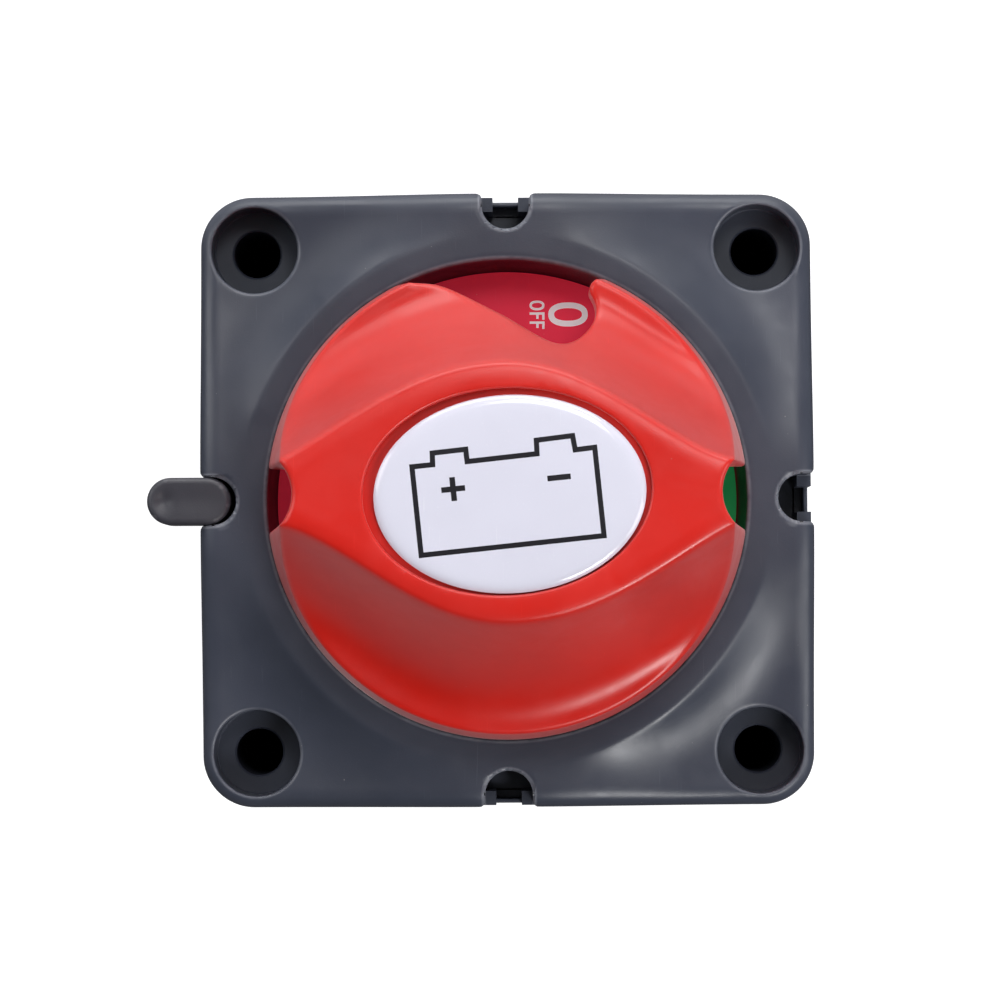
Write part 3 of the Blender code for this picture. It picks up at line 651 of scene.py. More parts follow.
def worked_metal(name, colour, rough, seed, tarnish, brushed=(1.0, 1.0, 1.0)):
    """Plated or bare metal with tool marks, smears and a little tarnish."""
    look = Look(name)
    stain = look.noise(scale=0.35, detail=5.0, rough=0.65, distortion=0.8, seed=seed)
    stain = look.span(stain, low=0.48, high=0.72)
    look.set("Base Color", look.tint(colour, stain, amount=tarnish, colour=shade(colour, 0.62)))
    look.set("Metallic", 1.0)
    marks = look.noise(scale=6.0, detail=2.0, rough=0.5, stretch=brushed, seed=seed + 1)
    gloss = look.span(marks, low=0.25, high=0.75, to_low=rough - 0.06, to_high=rough + 0.08)
    look.set("Roughness", look.math("ADD", gloss, look.times(stain, 0.16)))
    pits = look.span(look.cells(scale=1.4, seed=seed + 2), low=0.1, high=0.03)
    look.set_bump(look.math("SUBTRACT", marks, look.times(pits, 0.6)), distance=0.006)
    return look.material


def rubbery(name, seed):
    """Near-black rubber with a patchy grey bloom."""
    look = Look(name)
    dark, light, grey = (0.012, 0.012, 0.013, 1), (0.03, 0.03, 0.032, 1), (0.09, 0.09, 0.09, 1)
    tone = look.mix(look.noise(scale=0.5, seed=seed), dark, light)
    bloom = look.noise(scale=1.3, detail=4.0, rough=0.7, seed=seed + 1)
    bloom = look.span(bloom, low=0.55, high=0.7)
    look.set("Base Color", look.tint(tone, bloom, amount=0.25, colour=grey))
    smear = look.noise(scale=2.0, seed=seed + 2)
    look.set("Roughness", look.span(smear, low=0.3, high=0.7, to_low=0.62, to_high=0.82))
    look.set_bump(look.noise(scale=6.0, seed=seed + 3), distance=0.012)
    return look.material


# the case gets a painted highlight on its rims and painted shade in its well; the panels and key
# get painted highlights on their convex edges
SLATE = moulded_plastic(
    "slate_plastic", srgb(59, 63, 75), rough=0.36, grain=0.010, seed=1.0, mottle=0.08, dust=0.4,
    rims=0.95, edge_lift=0.10,
)
PANEL_SLATE = moulded_plastic(
    "slate_panel", srgb(59, 63, 75), rough=0.38, grain=0.010, seed=2.0, mottle=0.08, dust=0.4,
    edge=0.6,
)
KEY_GREY = moulded_plastic(
    "grey_plastic", srgb(56, 56, 63), rough=0.42, grain=0.012, seed=21.0, mottle=0.08, dust=0.3,
    edge=0.4,
)
RED = moulded_plastic(
    "red_plastic", srgb(206, 27, 15), rough=0.33, grain=0.007, seed=41.0, mottle=0.05, dust=0.2,
    subsurface=0.12, lighter=1.1, spec=0.55, haze=0.18,
)
# the dial and its print glow a little: painted light that lifts them out of the well's shade
DIAL_RED = moulded_plastic(
    "dial_red", srgb(250, 54, 84), rough=0.42, grain=0.006, seed=61.0, mottle=0.06, dust=0.3,
    spec=0.2, glow=0.16,
)
DIAL_GREEN = moulded_plastic(
    "dial_green", srgb(44, 180, 100), rough=0.42, grain=0.006, seed=62.0, mottle=0.06, dust=0.3,
    spec=0.2, glow=0.16,
)
PRINT_WHITE = moulded_plastic(
    "print_white", srgb(250, 250, 254), rough=0.45, grain=0.004, seed=63.0, mottle=0.03,
    dust=0.2, glow=0.16,
)
BADGE_WHITE = moulded_plastic(
    "badge_white", srgb(219, 218, 232), rough=0.16, grain=0.003, seed=71.0, mottle=0.02,
    dust=0.25, grain_scale=1.2, coat=0.8,
)
PRINT_BLACK = moulded_plastic(
    "print_black", srgb(26, 24, 30), rough=0.2, grain=0.002, seed=72.0, mottle=0.04, dust=0.1,
    grain_scale=1.2, coat=0.8,
)
BLACK = moulded_plastic(
    "black_plastic", srgb(38, 38, 41), rough=0.5, grain=0.014, seed=81.0, mottle=0.10, dust=0.4
)
INNER_GREY = moulded_plastic(
    "inner_grey", srgb(84, 85, 88), rough=0.5, grain=0.012, seed=91.0, mottle=0.10, dust=0.35
)
RUBBER = rubbery("rubber", seed=3.0)
TIN = worked_metal("tinned_copper", (0.78, 0.76, 0.71, 1), rough=0.27, seed=11.0, tarnish=0.35)
COPPER = worked_metal(
    "copper", (0.80, 0.40, 0.24, 1), rough=0.3, seed=12.0, tarnish=0.5, brushed=(0.15, 4.0, 1.0)
)
STEEL = worked_metal("stainless", (0.68, 0.67, 0.66, 1), rough=0.26, seed=13.0, tarnish=0.3)
SPRING_STEEL = worked_metal(
    "spring_steel", (0.5, 0.49, 0.48, 1), rough=0.3, seed=14.0, tarnish=0.4
)


# ------------------------------------------------------------------ housing
# The middle of the right side, in plan; each path runs towards +y.
LIP = resample(
    [
        (HALF, -MOUTH_HALF),
        (HALF - 0.25, -NOTCH_R - 0.14),
        (HALF - 0.6, -NOTCH_R),
        (HALF - SLOT_WALL, -NOTCH_R),
    ],
    0.35, closed=False,
)
NOTCH_END = polar(NOTCH_R, np.radians(np.linspace(-90, -270, 31)), (NOTCH_X, 0.0))
NOTCH_BACK = resample(np.vstack([LIP[-1], NOTCH_END, LIP[-1] * (1, -1)]), 0.3, closed=False)[1:-1]
NOTCH_PATH = np.vstack([LIP, NOTCH_BACK, mirrored(LIP)])
SIDE_FACE = resample([(HALF, -MOUTH_HALF), (HALF, -SLOT_HALF)], 0.5, closed=False)
SLOT_CHEEK = resample(
    [(HALF, -SLOT_HALF), (HALF - SLOT_WALL, -SLOT_HALF), (HALF - SLOT_WALL, -NOTCH_R)],
    0.5, closed=False,
)
SLOT_STEM = np.vstack([SIDE_FACE, SLOT_CHEEK[1:]])
SLOT_PATH = np.vstack([SLOT_STEM, NOTCH_BACK, mirrored(SLOT_STEM)])
SLOT_MOUTH = resample([(HALF, -SLOT_HALF), (HALF, SLOT_HALF)], 0.4, closed=False)[1:-1]
PLAIN_PATH = np.vstack([SIDE_FACE, SLOT_MOUTH, mirrored(SIDE_FACE)])

# Section of the small web across a slot's floor: (in from the side, height).
WEB = [
    (0.02, SLOT_Z - 0.2), (0.02, 35.2), (0.1, 35.36), (0.24, 35.42),
    (0.46, 35.38), (0.6, 35.2), (0.64, SLOT_Z - 0.2),
]


def plain_outline(half=HALF, corner=CORNER_R, step=0.4):
    """A rounded square as four equal runs, each starting at the middle of a side."""
    middle = half - corner
    quarter = [(half, 0.0), (half, 18.0), (half, middle)]
    for i in range(1, 25):
        angle = math.radians(90 * i / 24)
        quarter.append((middle + corner * math.cos(angle), middle + corner * math.sin(angle)))
    quarter += [(18.0, half), (0.0, half)]
    run = resample(quarter, step, closed=False)[:-1]
    return np.concatenate([quarter_turned(run, q) for q in range(4)])


def case_outline(insert):
    """The case's outline with `insert` set into the middle of every side."""
    plain = plain_outline()
    run = plain[: len(plain) // 4]
    run = run[(run[:, 1] > MOUTH_HALF + 0.15) | (run[:, 0] < 20)]
    run = run[~((run[:, 0] < MOUTH_HALF + 0.15) & (run[:, 1] > 20))]
    side = np.vstack([insert, run])
    return np.concatenate([quarter_turned(side, q) for q in range(4)])


def cavity_radius(angles, gap=0.0):
    """Distance to the hollow's wall, less `gap`: a rounded square that clears the corner posts."""
    found = []
    half, corner, post = HALF - WALL - gap, CORNER_R - WALL, POST_R + gap
    reach = HOLE_AT * math.sqrt(2)
    for angle in angles:
        turn = off_axis(math.degrees(angle))
        turned, off = math.radians(turn), math.radians(45.0 - turn)
        flat = half / math.cos(turned)
        if flat * math.sin(turned) > half - corner:
            centre = (half - corner) * math.sqrt(2)
            bend = math.sqrt(max(corner**2 - (centre * math.sin(off)) ** 2, 0.0))
            flat = centre * math.cos(off) + bend
        room = post**2 - (reach * math.sin(off)) ** 2
        if room > 0:
            flat = min(flat, reach * math.cos(off) - math.sqrt(room))
        found.append(flat)
    return np.array(found)


def face_z(points):
    """The face of the case: a flat ring, flush mid-sides and a cove at each corner."""
    x, y = points[:, 0], points[:, 1]
    turn = off_axis(np.degrees(np.arctan2(y, x)))
    # the swing starts 8.5 degrees from the middle of a side and is full at the corner
    share = np.clip(soft_ramp((turn - 8.5) / 36.5, 0.035), 0.0, 1.0)
    swing = 0.55 * (1 - (1 - share) ** 1.8) + 0.45 * np.sin(0.5 * np.pi * share) ** 2
    past_flat = soft_ramp(np.hypot(x, y) - FLAT_R, 0.16)
    out = 1 - (1 - np.clip(past_flat / 9.0, 0, 1)) ** 2.5
    return FACE_Z - CORNER_DROP * swing * out


def face_rows(outline, kept):
    """Points over the face, densest along its rounded edges."""
    rows = []
    for stop in ROLL_STOPS:
        inset = EDGE_R * roll_in(stop)
        rows.append(plain_outline(HALF - inset, max(CORNER_R - inset, 0.5), 0.42))
    rows.append(plain_outline(HALF - 2.4, CORNER_R - 2.4, 0.5))
    side = outward(NOTCH_PATH)
    for inset in (0.03, 0.11, 0.22, BORE_EDGE, 0.62):
        moved = (NOTCH_PATH + side * inset)[1:-1]
        rows += [quarter_turned(moved, q) for q in range(4)]
        rows += [circle(BORE_R + inset, 96, hole) for hole in HOLES]
    rows += [circle(WELL_R + RIM_R * roll_in(stop), 384) for stop in ROLL_STOPS]
    for radius in (
        FLAT_R - 0.8, FLAT_R - 0.45, FLAT_R - 0.2, FLAT_R,
        FLAT_R + 0.2, FLAT_R + 0.45, FLAT_R + 0.8, FLAT_R + 1.2,
    ):
        rows.append(circle(radius, 400))
    rows = [spaced(row, kept, 0.022) for row in rows]
    extra = thinned(np.concatenate([row[inside(row, outline)] for row in rows]), 0.02)
    grid = hex_grid((-HALF, -HALF), (HALF, HALF), 0.5)
    grid = grid[np.hypot(*grid.T) > WELL_R + RIM_R]
    grid = grid[inside(grid, outline)]
    return np.concatenate([extra, spaced(grid, np.concatenate([kept, extra]), 0.3)])


def add_face(shell, outline, bores, well):
    """The face of the case. Returns the edges of its outline, its bores and its well."""
    extra = face_rows(outline, np.concatenate([outline, *bores, well]))
    for bore in bores:
        extra = extra[~inside(extra, bore)]
    extra = extra[np.hypot(*extra.T) > WELL_R + 0.005]
    points, faces, slices = skin([outline, *bores, well], [*bores, well], extra)
    z = face_z(points) - rolled(loop_distance(points, plain_outline(step=0.3)), EDGE_R)
    notches = [resample(quarter_turned(NOTCH_PATH, q), 0.06, closed=False) for q in range(4)]
    near = np.min([nearest(points, notch)[1] for notch in notches], axis=0)
    z -= rolled(near, NOTCH_EDGE)
    for x, y in HOLES:
        off = np.hypot(points[:, 0] - x, points[:, 1] - y) - BORE_R
        z -= rolled(np.abs(off), BORE_EDGE)
    z -= rolled(np.hypot(*points.T) - WELL_R, RIM_R)
    surface = np.c_[points, z]
    shell.add(surface, faces)
    edges = [surface[part] for part in slices]
    return edges[0], edges[1:5], edges[5]


def add_notches(shell, rim, outline):
    """The side walls down to the slots' floors, with the notches and slots."""
    shell.loft([rim, rim - (0, 0, 0.5), *levels(outline, NOTCH_Z + 0.8, NOTCH_Z + 0.3, NOTCH_Z)])
    ledge = np.vstack([LIP * (1, -1), mirrored(SLOT_STEM)[1:-1]])
    for q in range(4):
        for side in (-1, 1):
            ring = at_height(quarter_turned(ledge * (1, side), q), NOTCH_Z)
            shell.cap(ring, flip=side < 0)
    heights = (NOTCH_Z, NOTCH_Z - 0.3, NOTCH_Z - 0.8, SLOT_Z + 0.8, SLOT_Z + 0.3, SLOT_Z)
    shell.loft(levels(case_outline(SLOT_PATH), *heights))
    slot_floor = np.vstack([SLOT_CHEEK, NOTCH_BACK, mirrored(SLOT_CHEEK), SLOT_MOUTH[::-1]])
    for q in range(4):
        shell.cap(at_height(quarter_turned(slot_floor, q), SLOT_Z))
    # a web in every slot but the left one
    half, count = SLOT_HALF + 0.15, len(WEB)
    sides = np.array([(HALF - inset, y, z) for y in (-half, half) for inset, z in WEB])
    faces = [range(count)[::-1], range(count, 2 * count)]
    for i in range(count):
        ahead = (i + 1) % count
        faces.append((i, ahead, count + ahead, count + i))
    for q in (0, 1, 3):
        shell.add(quarter_turned(sides, q), faces)


def add_openings(shell, outline, angles):
    """The rebate and cable opening in each side."""
    half, top, opening = REBATE_HALF, REBATE_TOP, OPENING_HALF
    across = np.sort((angles + np.pi) % (2 * np.pi) - np.pi)
    across = INNER_WALL * np.tan(across[np.abs(across) < math.pi / 4])
    ceiling = [(INNER_WALL, y, OPENING_TOP) for y in across if abs(y) <= opening + 1e-6]
    ceiling += [(REBATE_X, opening, OPENING_TOP), (REBATE_X, -opening, OPENING_TOP)]
    surround = [
        (REBATE_X, -half, 0), (REBATE_X, -half, top), (REBATE_X, half, top), (REBATE_X, half, 0),
        (REBATE_X, opening, 0), (REBATE_X, opening, OPENING_TOP),
        (REBATE_X, -opening, OPENING_TOP), (REBATE_X, -opening, 0),
    ]
    for q in range(4):
        strip = quarter_turned(outline, -q)
        strip = strip[(np.abs(strip[:, 1]) < half - 0.01) & (strip[:, 0] > HALF - 0.01)]
        strip = strip[np.argsort(strip[:, 1])]
        ends = [(HALF, half), (REBATE_X, half), (REBATE_X, -half)]
        ring = np.vstack([[(HALF, -half)], strip, ends])
        shell.cap(at_height(quarter_turned(ring, q), top))
        shell.cap(quarter_turned(surround, q))
        for side in (-1, 1):
            for x_out, x_in, y, high in (
                (HALF, REBATE_X, side * half, top),
                (REBATE_X, INNER_WALL, side * opening, OPENING_TOP),
            ):
                cheek = [(x_out, y, 0), (x_out, y, high), (x_in, y, high), (x_in, y, 0)]
                shell.cap(quarter_turned(cheek, q))
        shell.cap(quarter_turned(ceiling, q))


def add_corner_walls(shell, outline):
    """The outside of each corner beside the rebates. Returns each run, turned back to quarter 0."""
    top, runs = REBATE_TOP, []
    for q in range(4):
        local = quarter_turned(outline, -q)
        x, y = local[:, 0], local[:, 1]
        on_right = (y < REBATE_HALF + 0.01) & (x > HALF - 0.01)
        on_top = (x < REBATE_HALF + 0.01) & (y > HALF - 0.01)
        along = local[(x > 0) & (y > 0) & ~on_right & ~on_top]
        along = along[np.argsort(np.arctan2(along[:, 1], along[:, 0]))]
        run = np.vstack([[(HALF, REBATE_HALF)], along, [(REBATE_HALF, HALF)]])
        stack = levels(run, top, top - 0.3, top - 0.8, 0.8, 0.3, 0.0)
        count = len(run)
        faces = [(i, i + 1, count + i + 1, count + i) for i in range(count - 1)]
        for upper, lower in zip(stack, stack[1:]):
            shell.add(quarter_turned(np.vstack([upper, lower]), q), faces)
        runs.append(run)
    return runs


def add_well(shell, edge, angles):
    """The well, partition, contact chamber and hollow. Returns the hollow's plan outline."""
    hollow = cavity_radius(angles)
    # the chamber wall has a shallow groove where a detent ball rests, every quarter turn
    off_rest = off_axis(np.degrees(angles))
    chamber = 25.2 + 0.5 * np.cos(0.5 * np.pi * np.clip(off_rest / 6.0, 0, 1)) ** 2
    # (radius, height) downwards
    profile = [
        (26.25, 40.4), (26.15, 39.2), (26.05, 38.7), (25.85, 38.5), (7.0, 38.5), (7.0, 36.5),
        (chamber, 36.5), (chamber, CHAMBER_LOW), (hollow, CHAMBER_LOW), (hollow, OPENING_TOP),
    ]
    rings = [at_height(polar(radius, angles), z) for radius, z in profile]
    shell.loft([edge, edge * (0.999, 0.999, 1) - (0, 0, 0.6), *rings])
    # below the openings' top, the wall stands only between them
    outline = polar(hollow, angles)
    count, faces = len(angles), []
    for i in range(count):
        ahead = (i + 1) % count
        x, y = np.abs(0.5 * (outline[i] + outline[ahead]))
        if max(x, y) > INNER_WALL - 0.02 and min(x, y) < OPENING_HALF:
            continue
        faces.append((i, ahead, count + ahead, count + i))
    shell.add(np.vstack(levels(outline, OPENING_TOP, 0.0)), faces)
    return outline


def add_mounting_holes(shell, edges):
    floor = FACE_Z - CORNER_DROP - BORE_DEPTH
    # (radius, height above the bore's floor)
    profile = [
        (BORE_R, 0.7), (BORE_R, 0.15), (BORE_R - 0.15, 0), (BORE_R - 0.5, 0),
        (HOLE_R + 0.6, 0), (HOLE_R + 0.2, 0), (HOLE_R, -0.2), (HOLE_R, -0.7),
    ]
    profile = [(radius, floor + rise) for radius, rise in profile] + [(HOLE_R, 0.0)]
    for hole, edge in zip(HOLES, edges):
        shell.loft([edge, edge - (0, 0, 0.5), *turned_rings(profile, 96, hole)])


def add_rear_face(shell, hollow, runs):
    """The case's underside at z = 0: one patch at each corner."""
    edge = OPENING_HALF - 1e-6
    hole = circle(HOLE_R, 96, HOLES[0])
    for q, run in enumerate(runs):
        local = quarter_turned(hollow, -q)
        inner = local[(local[:, 0] > edge) & (local[:, 1] > edge)]
        inner = inner[np.argsort(-np.arctan2(inner[:, 1], inner[:, 0]))]
        top_ends = [(REBATE_HALF, REBATE_X), (OPENING_HALF, REBATE_X)]
        right_ends = [(REBATE_X, OPENING_HALF), (REBATE_X, REBATE_HALF)]
        outline = np.vstack([run, top_ends, inner, right_ends])
        outline = outline[np.r_[True, np.hypot(*np.diff(outline, axis=0).T) > 1e-6]]
        points, faces, _ = skin([outline, hole], [hole])
        shell.add(quarter_turned(at_height(points, 0.0), q), faces)


def build_housing():
    shell = Shell()
    face_outline, side_outline = case_outline(NOTCH_PATH), case_outline(PLAIN_PATH)
    bores = [circle(BORE_R, 96, hole) for hole in HOLES]
    # angles round the well, with one at each edge of every opening
    edges = [
        math.atan2(side * OPENING_HALF, INNER_WALL) + q * math.pi / 2
        for q in range(4) for side in (-1, 1)
    ]
    angles = np.concatenate([round_angles(384), np.mod(edges, 2 * np.pi)])
    angles = np.unique(np.round(angles, 9))
    rim, bore_edges, well_edge = add_face(shell, face_outline, bores, polar(WELL_R, angles))
    add_notches(shell, rim, face_outline)
    heights = (SLOT_Z, SLOT_Z - 0.3, SLOT_Z - 0.8, REBATE_TOP + 0.8, REBATE_TOP + 0.3, REBATE_TOP)
    shell.loft(levels(side_outline, *heights))
    add_openings(shell, side_outline, angles)
    runs = add_corner_walls(shell, side_outline)
    hollow = add_well(shell, well_edge, angles)
    add_mounting_holes(shell, bore_edges)
    add_rear_face(shell, hollow, runs)
    return shell


# ------------------------------------------------------------------ knob
# (x, y) of the wave-shaped window in the knob's edge, left to right, past the rim at both ends.
WINDOW_MARKS = [
    (-17.0, 26.6), (-14.2, 25.2), (-12.1, 24.15), (-10.35, 23.78), (-8.6, 23.66), (-7.3, 23.42),
    (-6.0, 22.93), (-4.72, 22.3), (-3.2, 21.47), (-1.63, 20.57), (-0.3, 19.82), (0.95, 19.0),
    (2.1, 18.2), (3.2, 17.48), (4.4, 16.78), (5.5, 16.4), (6.6, 16.45), (7.72, 16.94),
    (8.5, 17.62), (9.2, 18.45), (9.72, 19.35), (9.95, 20.2), (9.95, 21.0), (9.72, 21.75),
    (9.35, 22.35), (9.22, 22.95), (9.42, 23.55), (10.0, 24.1), (10.9, 24.7), (12.1, 25.4),
    (14.2, 26.8),
]
# the round-ended notch in the rim at each end of the grip
END_NOTCH_HALF = 3.45
END_NOTCH_BEND = 5.0
END_NOTCH_AT = 27.9
KNOB_FILLET = 0.6
RECESS_FILLET = 0.28


def smooth_through(points, per):
    """A Catmull-Rom curve through the points, with `per` steps in each span."""
    points = np.asarray(points, float)
    before, after = 2 * points[0] - points[1], 2 * points[-1] - points[-2]
    ext = np.vstack([before, points, after])
    out = []
    for i in range(len(points) - 1):
        p0, p1, p2, p3 = ext[i : i + 4]
        for k in range(per):
            t = k / per
            linear, square = (p2 - p0) * t, (2 * p0 - 5 * p1 + 4 * p2 - p3) * t * t
            out.append(0.5 * (2 * p1 + linear + square + (3 * p1 - p0 - 3 * p2 + p3) * t**3))
    out.append(points[-1])
    return np.array(out)


WINDOW = smooth_through(WINDOW_MARKS, 8)


def grip_half(x, y):
    """Half the grip's width; its ends taper less on one diagonal than on the other."""
    power = np.where(x * y < 0, 1.38, 1.85)
    return BAR_WAIST + BAR_SWELL * np.maximum(1 - (x / BAR_HALF) ** 2, 0.0) ** power


def knob_z(x, y):
    """The knob's upper surface: a flat-topped grip with a finger scoop on each side."""
    off = np.abs(y) - grip_half(x, y)
    share = np.clip(soft_ramp(off, 0.17) / SCOOP_WIDE, 0, 1)
    crown = CROWN * np.clip(1 + off / 2.4, 0, 1) ** 2
    return BAR_TOP - crown - (SCOOP_DEEP - CROWN) * (1 - (1 - share) ** 2.0)


def foot_radius(angle):
    return np.full(np.shape(angle), KNOB_R)


def rim_radius(angle):
    """Where the drafted side meets the upper surface."""
    radius = foot_radius(angle)
    for _ in range(40):
        z = knob_z(radius * np.cos(angle), radius * np.sin(angle))
        radius = 0.5 * (radius + (KNOB_R - DRAFT * (z - FACE_Z)))
    return radius


def knob_outline(radius_at, notch_taper=0.0):
    """The knob's outline for a rim of `radius_at(angle)`, always with as many points."""
    start = math.asin(END_NOTCH_HALF / 26.5)
    # where the window leaves the rim
    gone = np.hypot(*WINDOW.T) - radius_at(np.arctan2(WINDOW[:, 1], WINDOW[:, 0]))
    within = np.where(gone < 0)[0]
    first, last = within[0], within[-1]

    def crossing(i, j):
        share = gone[i] / (gone[i] - gone[j])
        return WINDOW[i] * (1 - share) + WINDOW[j] * share

    left, right = crossing(first - 1, first), crossing(last + 1, last)
    window = even(np.vstack([right, WINDOW[first : last + 1][::-1], left]), 190)

    def arc(begin, end, count):
        angles = np.linspace(begin, end, count)
        return polar(radius_at(angles), angles)

    radius = float(radius_at(np.array([start]))[0])
    x = math.sqrt(radius * radius - END_NOTCH_HALF * END_NOTCH_HALF)
    widest = math.asin(END_NOTCH_HALF / END_NOTCH_BEND)
    bend = np.linspace(-widest, widest, 40)
    curve_x = END_NOTCH_AT + notch_taper - END_NOTCH_BEND * np.cos(bend)
    curve = np.c_[curve_x, END_NOTCH_BEND * np.sin(bend)]
    notch = even(np.vstack([(x, -END_NOTCH_HALF), curve, (x, END_NOTCH_HALF)]), 56)
    runs = [
        arc(start, math.atan2(right[1], right[0]), 150),
        window,
        arc(math.atan2(left[1], left[0]), math.pi - start, 130),
        -notch,
        arc(math.pi + start, 2 * math.pi - start, 330),
        notch,
    ]
    return softened(np.concatenate([run[:-1] for run in runs]), 5)


def knob_points(top, recess):
    """Points over the knob's upper surface, densest along its edges."""
    side = outward(top)
    rows = [top - side * KNOB_FILLET * roll_in(stop) for stop in ROLL_STOPS]
    rows.append(top - side * 0.9)
    # rows along the grip's two edges, closest where the surface turns fastest
    x = np.arange(-25.6, 25.61, 0.22)
    for off in (
        -2.4, -1.7, -1.1, -0.7, -0.45, -0.28, -0.14, 0.0, 0.12, 0.25,
        0.4, 0.6, 0.85, 1.15, 1.5, 1.9, 2.35, 2.85, 3.4,
    ):
        for side_y in (-1, 1):
            y = side_y * (grip_half(x, side_y) + off)
            rows.append(resample(np.c_[x, y], 0.3, closed=False))
    around = outward(recess)
    rows += [recess + around * RECESS_FILLET * roll_in(stop) for stop in (20, 45, 70, 90)]

    def on_top(points):
        points = points[inside(points, top)]
        return points[~inside(points, recess)]

    kept = np.concatenate([top, recess])
    extra = thinned(np.concatenate([spaced(on_top(row), kept, 0.02) for row in rows]), 0.03)
    grid = on_top(hex_grid((-KNOB_R, -KNOB_R), (KNOB_R, KNOB_R), 0.42))
    return np.concatenate([extra, spaced(grid, np.concatenate([kept, extra]), 0.24)])


def build_knob():
    shell = Shell()
    base = knob_outline(foot_radius, notch_taper=0.15)
    top = knob_outline(rim_radius)
    recess = superellipse(BADGE_RX, BADGE_RY, 2.0, 260, BADGE_AT, BADGE_TILT)
    points, faces, slices = skin([top, recess], [recess], knob_points(top, recess))
    z = knob_z(points[:, 0], points[:, 1])
    z -= rolled(loop_distance(points, top), KNOB_FILLET)
    z -= rolled(loop_distance(points, recess), RECESS_FILLET)
    surface = np.c_[points, z]
    shell.add(surface, faces)
    # the side, and a small step in at its foot
    rim, foot = surface[slices[0]], at_height(base, KNOB_BASE + 0.3)
    side = outward(base)
    bottom = base - side * 0.3
    shell.loft(
        [
            rim,
            *(rim * (1 - share) + foot * share for share in (0.25, 0.5, 0.75)),
            foot,
            at_height(base - side * 0.1, KNOB_BASE + 0.08),
            at_height(bottom, KNOB_BASE),
        ]
    )
    # the underside and the hub
    hub, hub_end = circle(8.8, 96), at_height(circle(8.6, 96), 41.5)
    points, faces, _ = skin([bottom, hub], [hub])
    shell.add(at_height(points, KNOB_BASE), faces)
    shell.loft([*levels(hub, KNOB_BASE, 41.7), hub_end])
    shell.cap(hub_end)
    recess_floor = at_height(recess, RECESS_Z)
    shell.loft([surface[slices[1]], recess_floor])
    shell.cap(recess_floor)
    return shell


# ------------------------------------------------------------------ badge
# (x, y) corners of the printed battery outline, anticlockwise.
BATTERY = [
    (-9.14, -6.63), (10.25, -4.67), (9.32, 4.70), (7.25, 4.45), (6.98, 5.96), (3.14, 5.49),
    (3.20, 4.06), (-4.21, 3.28), (-4.36, 4.58), (-7.91, 4.20), (-7.87, 2.97), (-10.07, 2.76),
]
BATTERY_STROKE = 0.56
SIGN_TILT = math.radians(5.5)
SIGN_HALF = 0.30  # half the stroke of the plus and minus
PLUS_AT, PLUS_ARM = (-5.71, 0.37), 1.27
MINUS_AT, MINUS_ARM = (5.52, 1.53), 1.25


def dome_z(points):
    """The glossy dome: flat in the middle, rolling down at its rim."""
    x, y = points[:, 0] - DOME_AT[0], points[:, 1] - DOME_AT[1]
    cos, sin = math.cos(BADGE_TILT), math.sin(BADGE_TILT)
    share = np.hypot((x * cos + y * sin) / DOME_A, (-x * sin + y * cos) / DOME_B)
    share = np.minimum(share, 1.0)
    inward = (1 - share) * 12.0
    return 74.30 + 0.45 * (1 - np.exp(-inward / 0.35)) + 0.24 * (1 - share**2)


def stroke_loops(path, width):
    """Outer and inner outlines of a stroke along an anticlockwise path, with mitred corners."""
    path = np.asarray(path, float)
    back = path - np.roll(path, 1, axis=0)
    ahead = np.roll(path, -1, axis=0) - path
    back /= np.hypot(*back.T)[:, None]
    ahead /= np.hypot(*ahead.T)[:, None]
    back_side = np.c_[back[:, 1], -back[:, 0]]
    mitre = back_side + np.c_[ahead[:, 1], -ahead[:, 0]]
    mitre /= (mitre * back_side).sum(1)[:, None]
    return path + mitre * width / 2, path - mitre * width / 2


def build_badge():
    shell = Shell()

    def dome_loop(share=1.0):
        return superellipse(DOME_A * share, DOME_B * share, 2.0, 300, DOME_AT, BADGE_TILT)

    arm, half = PLUS_ARM, SIGN_HALF
    plus = [
        (arm, -half), (arm, half), (half, half), (half, arm), (-half, arm), (-half, half),
        (-arm, half), (-arm, -half), (-half, -half), (-half, -arm), (half, -arm), (half, -half),
    ]
    plus = tilted(plus, PLUS_AT, SIGN_TILT)
    arm = MINUS_ARM
    minus = [(-arm, -half), (arm, -half), (arm, half), (-arm, half)]
    minus = tilted(minus, MINUS_AT, SIGN_TILT)
    printed = [resample(p, 0.4) for p in (*stroke_loops(BATTERY, BATTERY_STROKE), plus, minus)]
    rim = dome_loop()
    rows = [dome_loop(s) for s in (0.9985, 0.995, 0.99, 0.982, 0.972, 0.96, 0.94, 0.91)]
    grid = hex_grid((-16, -12), (16, 12), 0.5)
    grid = grid[inside(grid, rows[-1])]
    grid = spaced(grid, np.concatenate([rim, *printed, rows[-1]]), 0.25)
    points, faces, slices = skin([rim, *printed], extra=np.concatenate([*rows, grid]))
    within = [inside(points[faces].mean(axis=1), loop) for loop in printed]
    black = (within[0] & ~within[1]) | within[2] | within[3]
    surface = np.c_[points, dome_z(points)]
    shell.add(surface, faces, [int(b) for b in black])
    underside = at_height(rim, 73.65)
    shell.loft([surface[slices[0]], underside])
    shell.cap(underside)
    return shell


# ------------------------------------------------------------------ dial
DIAL_INNER, DIAL_OUTER = 7.3, 26.08

# For the red and green halves: quarter turns of the print, then its letters as
# (letter, height, width, pen, x, y) before that turn.
DIAL_PRINT = [
    (0, [
        ("O", 4.5, 2.75, 0.66, 7.07, 21.22),
        ("O", 1.7, 1.12, 0.27, 3.54, 22.27),
        ("F", 1.7, 0.85, 0.27, 3.54, 21.06),
        ("F", 1.7, 0.85, 0.27, 3.54, 20.02),
    ]),
    (3, [
        ("I", 4.2, 1.0, 0.8, 7.0, 21.35),
        ("O", 1.7, 1.2, 0.27, 3.35, 22.0),
        ("N", 1.7, 1.15, 0.27, 3.35, 20.5),
    ]),
]


